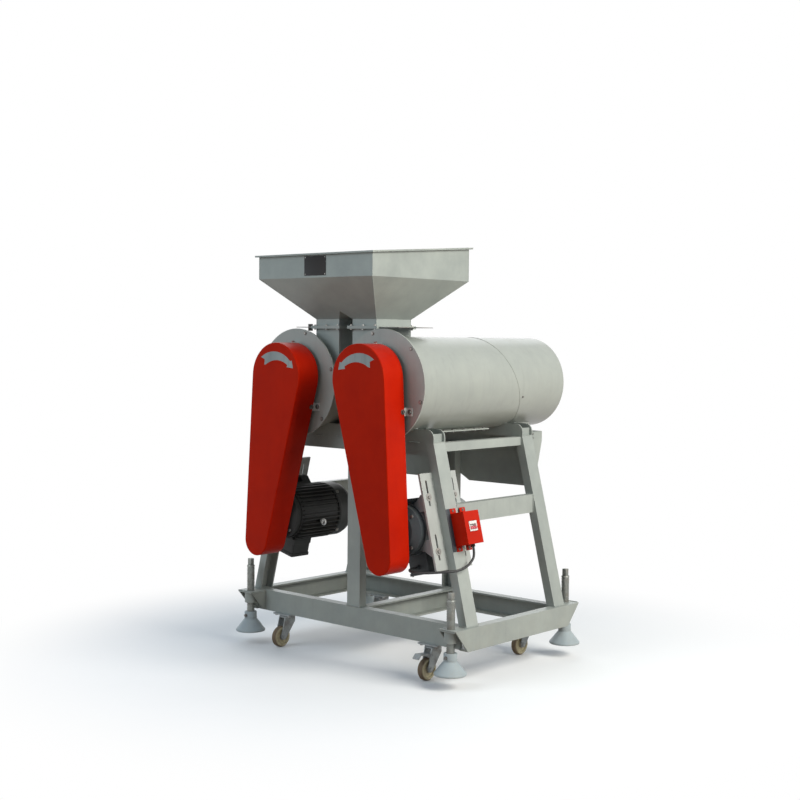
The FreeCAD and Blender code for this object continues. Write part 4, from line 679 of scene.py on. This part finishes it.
# Rotors: steel shaft, feed screw worn bright by grain, emery roller cast from
# black grit, and the grooved cast pulley outside the drum, all on one shaft.
for label, side in (('right', 1), ('left', -1)):
    rotor_stuff, tree, shader = blank_paint('rotor_' + label)
    spot = own_place(tree)
    along = add_node(tree, 'ShaderNodeSeparateXYZ', {'Vector': spot}).outputs['Y']
    centred = add_node(tree, 'ShaderNodeMapping', {'Vector': spot, 'Location': (-side * drum_x, 0, -drum_z)}).outputs[0]
    flat = add_node(tree, 'ShaderNodeVectorMath', {0: centred, 1: (1, 0, 1)}, operation='MULTIPLY').outputs[0]
    away = add_node(tree, 'ShaderNodeVectorMath', {0: flat}, operation='LENGTH').outputs['Value']
    grit = add_node(tree, 'ShaderNodeTexVoronoi', {'Vector': spot, 'Scale': 420.0}).outputs['Distance']
    rings = noise(tree, spot, 60.0, 5.0)
    beyond = ramp(tree, away, 0.0252, 0.0258)
    emery = maths(tree, 'MULTIPLY', beyond, maths(tree, 'MULTIPLY', ramp(tree, along, -0.1592, -0.1588),
                                                  ramp(tree, along, 0.5228, 0.5224)))
    cast = maths(tree, 'MULTIPLY', beyond, ramp(tree, along, -0.5330, -0.5334))
    colour = colours(tree, ramp(tree, rings, 0.35, 0.65), (0.40, 0.39, 0.37), (0.55, 0.54, 0.51))
    colour = colours(tree, cast, colour, (0.16, 0.165, 0.165))
    colour = colours(tree, emery, colour, (0.055, 0.050, 0.048))
    tree.links.new(colour, shader.inputs['Base Color'])
    dull = maths(tree, 'MAXIMUM', emery, maths(tree, 'MULTIPLY', cast, 0.5))
    tree.links.new(maths(tree, 'MULTIPLY_ADD', dull, 0.5, 0.34), shader.inputs['Roughness'])
    tree.links.new(maths(tree, 'SUBTRACT', 0.9, maths(tree, 'MULTIPLY', dull, 0.9)), shader.inputs['Metallic'])
    relief = maths(tree, 'MULTIPLY_ADD', maths(tree, 'MULTIPLY', grit, emery), 3.0, maths(tree, 'MULTIPLY', rings, 0.3))
    roughen(tree, shader, 0.5, 0.001, relief)
    dress(rotor_stuff, 'rotor_' + label)

# Screens: perforated sheet rolled round the emery rollers, inside the casings.
screen_sheet, tree, shader = blank_paint('screen_sheet')
spot = own_place(tree)
punched = add_node(tree, 'ShaderNodeTexVoronoi', {'Vector': spot, 'Scale': 120.0,
                                                  'Randomness': 0.0}).outputs['Distance']
hole = ramp(tree, punched, 0.34, 0.30)
tree.links.new(colours(tree, hole, (0.46, 0.45, 0.42), (0.02, 0.02, 0.02)), shader.inputs['Base Color'])
tree.links.new(maths(tree, 'SUBTRACT', 0.9, hole), shader.inputs['Metallic'])
tree.links.new(maths(tree, 'MULTIPLY_ADD', hole, 0.4, 0.38), shader.inputs['Roughness'])
dress(screen_sheet, 'screen_cylinders')

# Hopper and feed necks: folded 3 mm sheet, its out-turned rim folded down at
# the edge, corner seams ground smooth, and two necks clamped on through
# flanges.  A bare plate is riveted to the front.
hopper_paint = enamel('hopper_paint', (0.330, 0.360, 0.335), (0.270, 0.298, 0.280), rough=0.37, relief=0.12, wear=0.5,
                      dust=0.25, runs=0.04)
dress(hopper_paint, 'hopper', 'feed_necks')
corner_beads = []
for side in (-1, 1):
    corner_beads.append(weld((side * 0.3578, -0.6388, 1.780), (side * 0.3578, -0.6388, 1.879), 0.0017))
    corner_beads.append(weld((side * 0.3578, 0.0148, 1.780), (side * 0.3578, 0.0148, 1.926), 0.0017))
    corner_beads.append(weld((side * 0.3578, -0.6388, 1.777), (side * 0.190, -0.430, 1.596), 0.0017))
    corner_beads.append(weld((side * 0.3578, 0.0148, 1.777), (side * 0.190, -0.197, 1.596), 0.0017))
    for x, y in ((0.043, -0.430), (0.190, -0.430), (0.190, -0.197), (0.043, -0.197)):
        corner_beads.append(weld((side * x, y, 1.566), (side * x, y, 1.594), 0.0015))
        corner_beads.append(weld((side * x, y, 1.520), (side * x, y, 1.552), 0.0015))
fit('hopper_seams', corner_beads, hopper_paint, 'frame', 60)
fold = brick((0.744, 0.682, 0.0075), (0, -0.312, 0))
rim_front, rim_length, rim_rise = -0.654, 0.684, 0.049
for face in fold.data.polygons:
    face.select = abs(face.normal.z) > 0.5
for corner in fold.data.vertices:
    corner.co.z += 1.88085 + (corner.co.y - rim_front) * rim_rise / rim_length
bpy.ops.object.mode_set(mode='EDIT')
bpy.ops.mesh.select_mode(type='FACE')
bpy.ops.mesh.delete(type='ONLY_FACE')
bpy.ops.object.mode_set(mode='OBJECT')
folded = fold.modifiers.new('folded', 'SOLIDIFY')
folded.thickness = 0.0018
folded.offset = 0.0
bpy.ops.object.modifier_apply(modifier='folded')
fit('hopper_rim_fold', [soften(fold, 0.0006)], hopper_paint, 'frame')
name_plate = enamel('bare_plate', (0.012, 0.010, 0.010), (0.008, 0.007, 0.007), bare=(0.45, 0.43, 0.40), rough=0.35,
                    relief=0.05, wear=0.9, dust=0.1, runs=0.0, gloss=0.0, edge=0.0012, shine=0.2)
plate = brick((0.136, 0.0012, 0.088), (0.009, -0.6398, 1.830))
for edge_line in plate.data.edges:
    a, b = (plate.data.vertices[i].co for i in edge_line.vertices)
    edge_line.select = abs(a.y - b.y) > 0.001
for face in plate.data.polygons:
    face.select = False
bpy.ops.object.mode_set(mode='EDIT')
bpy.ops.mesh.select_mode(type='EDGE')
bpy.ops.mesh.bevel(offset=0.006, segments=4)
bpy.ops.object.mode_set(mode='OBJECT')
for face in plate.data.polygons:
    face.select = face.normal.y < -0.9
bpy.ops.object.mode_set(mode='EDIT')
bpy.ops.mesh.select_mode(type='FACE')
bpy.ops.mesh.inset(thickness=0.003)
bpy.ops.transform.translate(value=(0, 0.0003, 0))
bpy.ops.object.mode_set(mode='OBJECT')
fit('bare_plate', [plate], name_plate, 'frame')
rivets = []
for x in (-0.053, 0.071):
    for z in (1.792, 1.868):
        dome = turned([(0.0, 0.0), (0.0030, 0.0), (0.0028, 0.0008), (0.0018, 0.0015), (0.0, 0.0018)], 16)
        rivets.append(turned_to(dome, (x, -0.6402, z), (0, -1, 0)))
fit('plate_rivets', rivets, bolt_steel, 'frame')

# Feed gates: flat slides of browned steel between the flanges, drawn right out
# at rest; the left one has an upright grip.
gate_steel = steel('gate_steel', (0.22, 0.215, 0.20), (0.13, 0.128, 0.12), rough=0.48, metal=0.4, stretch=(1, 22, 22),
                   grain=50.0, stain=0.5)
dress(gate_steel, 'feed_gate_right', 'feed_gate_left')

# Discharge chute: folded sheet hung behind the rear beam, open below, with a
# roof between its two mouths; two small bolts hold each end of its top band.
dress(hopper_paint, 'discharge_chute')
chute_bolts = []
for side in (-1, 1):
    for z in (1.034, 1.054):
        chute_bolts.append(turned_to(hexagon(0.010, 0.005), (side * 0.4398, 0.420, z), (side, 0, 0)))
        chute_bolts.append(turned_to(hexagon(0.010, 0.005), (side * 0.330, 0.4998, z), (0, 1, 0)))
fit('chute_bolts', chute_bolts, dark_bolt, 'frame')

# Switch: red pressed-steel box on the right front leg with a three-pole breaker
# in its window: white case and linked pink-red toggles.  Four ears hold it to
# the leg, a thin dark strip along its back edge is painted shade for the box's
# shadow on the leg, and a gland sits underneath.
box_seat = (leg_face(0.672), -0.288, 0.672)
switch_paint, tree, shader = blank_paint('switch_box')
spot = own_place(tree)
local = add_node(tree, 'ShaderNodeMapping', {'Vector': spot, 'Location': box_seat,
                                             'Rotation': (0, -leg_slope, 0)}, vector_type='TEXTURE').outputs[0]
parts = add_node(tree, 'ShaderNodeSeparateXYZ', {'Vector': local})
off_y = maths(tree, 'ABSOLUTE', parts.outputs['Y'])
off_z = maths(tree, 'ABSOLUTE', maths(tree, 'SUBTRACT', parts.outputs['Z'], 0.005))
in_window = maths(tree, 'MULTIPLY', ramp(tree, off_y, 0.02665, 0.0266), ramp(tree, off_z, 0.02265, 0.0226))
skin = use_group(tree, sheet_skin)
worn = use_group(tree, edge_wear, {'Radius': 0.0012})
below = ramp(tree, parts.outputs['Z'], -0.0727, -0.0729)
colour = colours(tree, skin.outputs['Tone'], (0.38, 0.008, 0.0015), (0.46, 0.012, 0.003))
colour = colours(tree, maths(tree, 'MULTIPLY', worn.outputs['Mask'], 0.5), colour, (0.25, 0.08, 0.06))
colour = colours(tree, in_window, colour, (0.72, 0.72, 0.70))
gland = maths(tree, 'MULTIPLY', below, ramp(tree, parts.outputs['X'], 0.010, 0.012))
colour = colours(tree, gland, colour, (0.02, 0.02, 0.02))
tree.links.new(colour, shader.inputs['Base Color'])
tree.links.new(maths(tree, 'MULTIPLY_ADD', skin.outputs['Tone'], 0.1, 0.28), shader.inputs['Roughness'])
roughen(tree, shader, 0.1, 0.0008, skin.outputs['Height'])
shader.inputs['Specular IOR Level'].default_value = 0.2
shader.inputs['Specular Tint'].default_value = (1.0, 0.45, 0.22, 1.0)
dress(switch_paint, 'breaker_box')


def moulded(name, light, dark, rough=0.35, relief=0.08):
    """Moulded plastic with a fine spark-eroded grain."""
    made, tree, shader = blank_paint(name)
    spot = own_place(tree)
    fine = noise(tree, spot, 1500.0, 2.0)
    broad = noise(tree, spot, 45.0, 4.0)
    tree.links.new(colours(tree, broad, dark, light), shader.inputs['Base Color'])
    tree.links.new(maths(tree, 'MULTIPLY_ADD', fine, 0.12, rough), shader.inputs['Roughness'])
    roughen(tree, shader, relief, 0.0002, fine)
    return made


on_leg = Matrix.Translation(box_seat) @ Matrix.Rotation(-leg_slope, 4, 'Y')


breaker_white = moulded('breaker_white', (0.74, 0.74, 0.72), (0.66, 0.66, 0.63))
case_parts = []
for pole in (-1, 0, 1):
    case_parts.append(block((0.0020, 0.0164, 0.0130), (0.0757, pole * 0.0173, 0.0205)))
    case_parts.append(block((0.0020, 0.0164, 0.0070), (0.0757, pole * 0.0173, -0.0136)))
for part in case_parts:
    part.matrix_world = on_leg
fit('breaker_case', case_parts, breaker_white, 'frame')
toggle_red = moulded('toggle_red', (0.70, 0.16, 0.19), (0.58, 0.10, 0.13))
lever_swing = Matrix.Translation((0.066, 0, 0.002)) @ Matrix.Rotation(math.radians(30), 4, 'Y')
toggles = [block((0.0040, 0.0400, 0.0036), (0.0108, 0, 0))]
for pole in (-1, 0, 1):
    toggles.append(block((0.0150, 0.0112, 0.0084), (0.0075, pole * 0.0150, 0), 0.0012))
for part in toggles:
    part.matrix_world = on_leg @ lever_swing
lever = fit('breaker_toggles', toggles, toggle_red, 'breaker_lever')
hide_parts('breaker_lever')
ears = []
for over in (-0.0325, 0.0325):
    for along in (-0.0840, 0.0840):
        ears.append(block((0.0030, 0.0390, 0.0235), (0.0017, over, along), 0.0010))
for part in ears:
    part.matrix_world = on_leg
fit('box_ears', ears, switch_paint, 'frame')
# Thin near-black sheet on the leg beside the box's back edge: painted shade standing in for the box's shadow on the
# leg.
shadow_sheet = block((0.0022, 0.0250, 0.1900), (0.0013, -0.0652, 0.0010))
shadow_sheet.matrix_world = on_leg
fit('box_painted_shadow_strip', [shadow_sheet], moulded('painted_shadow_finish', (0.018, 0.024, 0.032), (0.012, 0.016, 0.022)), 'frame')
ear_screws = []
for over in (-0.0340, 0.0340):
    for along in (-0.0850, 0.0850):
        washer = flat_ring(0.0, 0.0062, 0.0012, 24)
        washer.matrix_world = on_leg @ Matrix.Translation((0.0031, over, along)) @ Matrix.Rotation(math.pi / 2, 4, 'Y')
        dome = turned([(0.0, 0.0), (0.0046, 0.0), (0.0043, 0.0016), (0.0028, 0.0030), (0.0, 0.0034)], 24)
        dome.matrix_world = on_leg @ Matrix.Translation((0.0042, over, along)) @ Matrix.Rotation(math.pi / 2, 4, 'Y')
        ear_screws += [washer, dome]
fit('box_screws', ear_screws, dark_bolt, 'frame')

# Cable: an 11 mm rubber-sheathed lead that drops from the box, swings round the
# front of the leg, runs under the motor plate and enters the terminal box.
cable_rubber = moulded('cable_rubber', (0.026, 0.026, 0.027), (0.016, 0.016, 0.017), rough=0.48, relief=0.2)
route = [(0.63208, -0.268, 0.5992), (0.64094, -0.268, 0.56431), (0.6440, -0.2950, 0.5350), (0.6465, -0.3440, 0.5135),
         (0.6365, -0.3965, 0.5060), (0.6105, -0.4335, 0.5045), (0.568, -0.472, 0.500), (0.528, -0.497, 0.497),
         (0.492, -0.5035, 0.496), (0.4545, -0.4906, 0.497), (0.42865, -0.455, 0.49832), (0.42865, -0.411, 0.49832)]
lead = bpy.data.curves.new('switch_cable', 'CURVE')
lead.dimensions = '3D'
lead.bevel_depth = 0.0055
lead.bevel_resolution = 5
lead.resolution_u = 10
lead.use_fill_caps = True
line = lead.splines.new('NURBS')
line.points.add(len(route) - 1)
for point, spot in zip(line.points, route):
    point.co = (*spot, 1.0)
line.order_u = 3
line.use_endpoint_u = True
cable = bpy.data.objects.new('switch_cable', lead)
bpy.context.collection.objects.link(cable)
lead.materials.append(cable_rubber)
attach(cable, 'frame')
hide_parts('breaker_cable')

# Pale floor, soft light from the right and above, and the camera where the
# photographer stood.
bpy.ops.object.select_all(action='DESELECT')
bpy.ops.mesh.primitive_circle_add(vertices=96, radius=14.0, fill_type='NGON', location=(0, 0, 0))
floor = bpy.context.object
floor.name = 'studio_floor'
floor_paint, tree, shader = blank_paint('studio_floor')
shader.inputs['Roughness'].default_value = 0.85
spot = own_place(tree)
reach = add_node(tree, 'ShaderNodeVectorMath', {0: spot}, operation='LENGTH').outputs['Value']
dapple = noise(tree, spot, 3.0, 3.0)
pale = colours(tree, dapple, (0.86, 0.86, 0.86), (0.89, 0.89, 0.89))
rays = add_node(tree, 'ShaderNodeLightPath')
tree.links.new(colours(tree, rays.outputs['Is Diffuse Ray'], pale, (0.33, 0.25, 0.19)), shader.inputs['Base Color'])
seen = add_node(tree, 'ShaderNodeMath', {0: rays.outputs['Is Camera Ray'], 1: rays.outputs['Is Glossy Ray']},
                operation='ADD', use_clamp=True).outputs[0]
white = add_node(tree, 'ShaderNodeEmission', {'Color': (1, 1, 1, 1), 'Strength': 1.0})
blend = add_node(tree, 'ShaderNodeMixShader',
                 {0: maths(tree, 'MULTIPLY', seen, add_node(tree, 'ShaderNodeMapRange', {0: reach, 1: 0.9, 2: 2.2},
                                                            interpolation_type='SMOOTHSTEP').outputs[0]),
                  1: shader.outputs[0], 2: white.outputs[0]})
tree.links.new(blend.outputs[0], tree.nodes['Material Output'].inputs['Surface'])
floor.data.materials.append(floor_paint)

studio = bpy.data.worlds.new('studio')
bpy.context.scene.world = studio
studio.use_nodes = True
tree = studio.node_tree
sky = tree.nodes['Background']
sky.inputs['Color'].default_value = (0.70, 0.85, 1.0, 1.0)
sky.inputs['Strength'].default_value = 0.36
rays = add_node(tree, 'ShaderNodeLightPath')
seen = maths(tree, 'MAXIMUM', rays.outputs['Is Camera Ray'],
             maths(tree, 'MAXIMUM', rays.outputs['Is Glossy Ray'], rays.outputs['Is Transmission Ray']))
backdrop = add_node(tree, 'ShaderNodeBackground', {'Color': (1, 1, 1, 1), 'Strength': 1.0})
both = add_node(tree, 'ShaderNodeMixShader', {0: seen, 1: sky.outputs[0], 2: backdrop.outputs[0]})
tree.links.new(both.outputs[0], tree.nodes['World Output'].inputs['Surface'])

for label, spot, size, power, tint in (('key', (4.8, 0.2, 3.5), 3.0, 332.0, (1.0, 0.97, 0.90)),
                                       ('fill', (-1.6, -5.0, 3.4), 3.4, 112.0, (0.82, 0.92, 1.0)),
                                       ('back', (-4.6, 3.4, 2.6), 8.0, 180.0, (0.96, 0.98, 1.0))):
    lamp = bpy.data.lights.new(label, 'AREA')
    lamp.shape = 'SQUARE'
    lamp.size = size
    lamp.energy = power
    lamp.color = tint
    stand = bpy.data.objects.new(label, lamp)
    bpy.context.collection.objects.link(stand)
    stand.location = spot
    stand.rotation_mode = 'QUATERNION'
    stand.rotation_quaternion = (Vector((0, 0, 1.0)) - Vector(spot)).to_track_quat('-Z', 'Y')

lens = bpy.data.cameras.new('camera')
lens.lens = 60.63
lens.sensor_width = 36.0
lens.clip_end = 60.0
camera = bpy.data.objects.new('camera', lens)
bpy.context.collection.objects.link(camera)
heading, dip, roll = math.radians(41.76), math.radians(2.576), math.radians(0.570)
ahead = Vector((-math.sin(heading) * math.cos(dip), math.cos(heading) * math.cos(dip), -math.sin(dip)))
level = Vector((math.cos(heading), math.sin(heading), 0))
upright = level.cross(ahead)
right = level * math.cos(roll) + upright * math.sin(roll)
over = upright * math.cos(roll) - level * math.sin(roll)
camera.matrix_world = Matrix.Translation((4.30457, -4.87402, 1.5056)) @ Matrix(
    ((right.x, over.x, -ahead.x, 0), (right.y, over.y, -ahead.y, 0), (right.z, over.z, -ahead.z, 0), (0, 0, 0, 1)))
bpy.context.scene.camera = camera
bpy.context.scene.view_settings.view_transform = 'Standard'
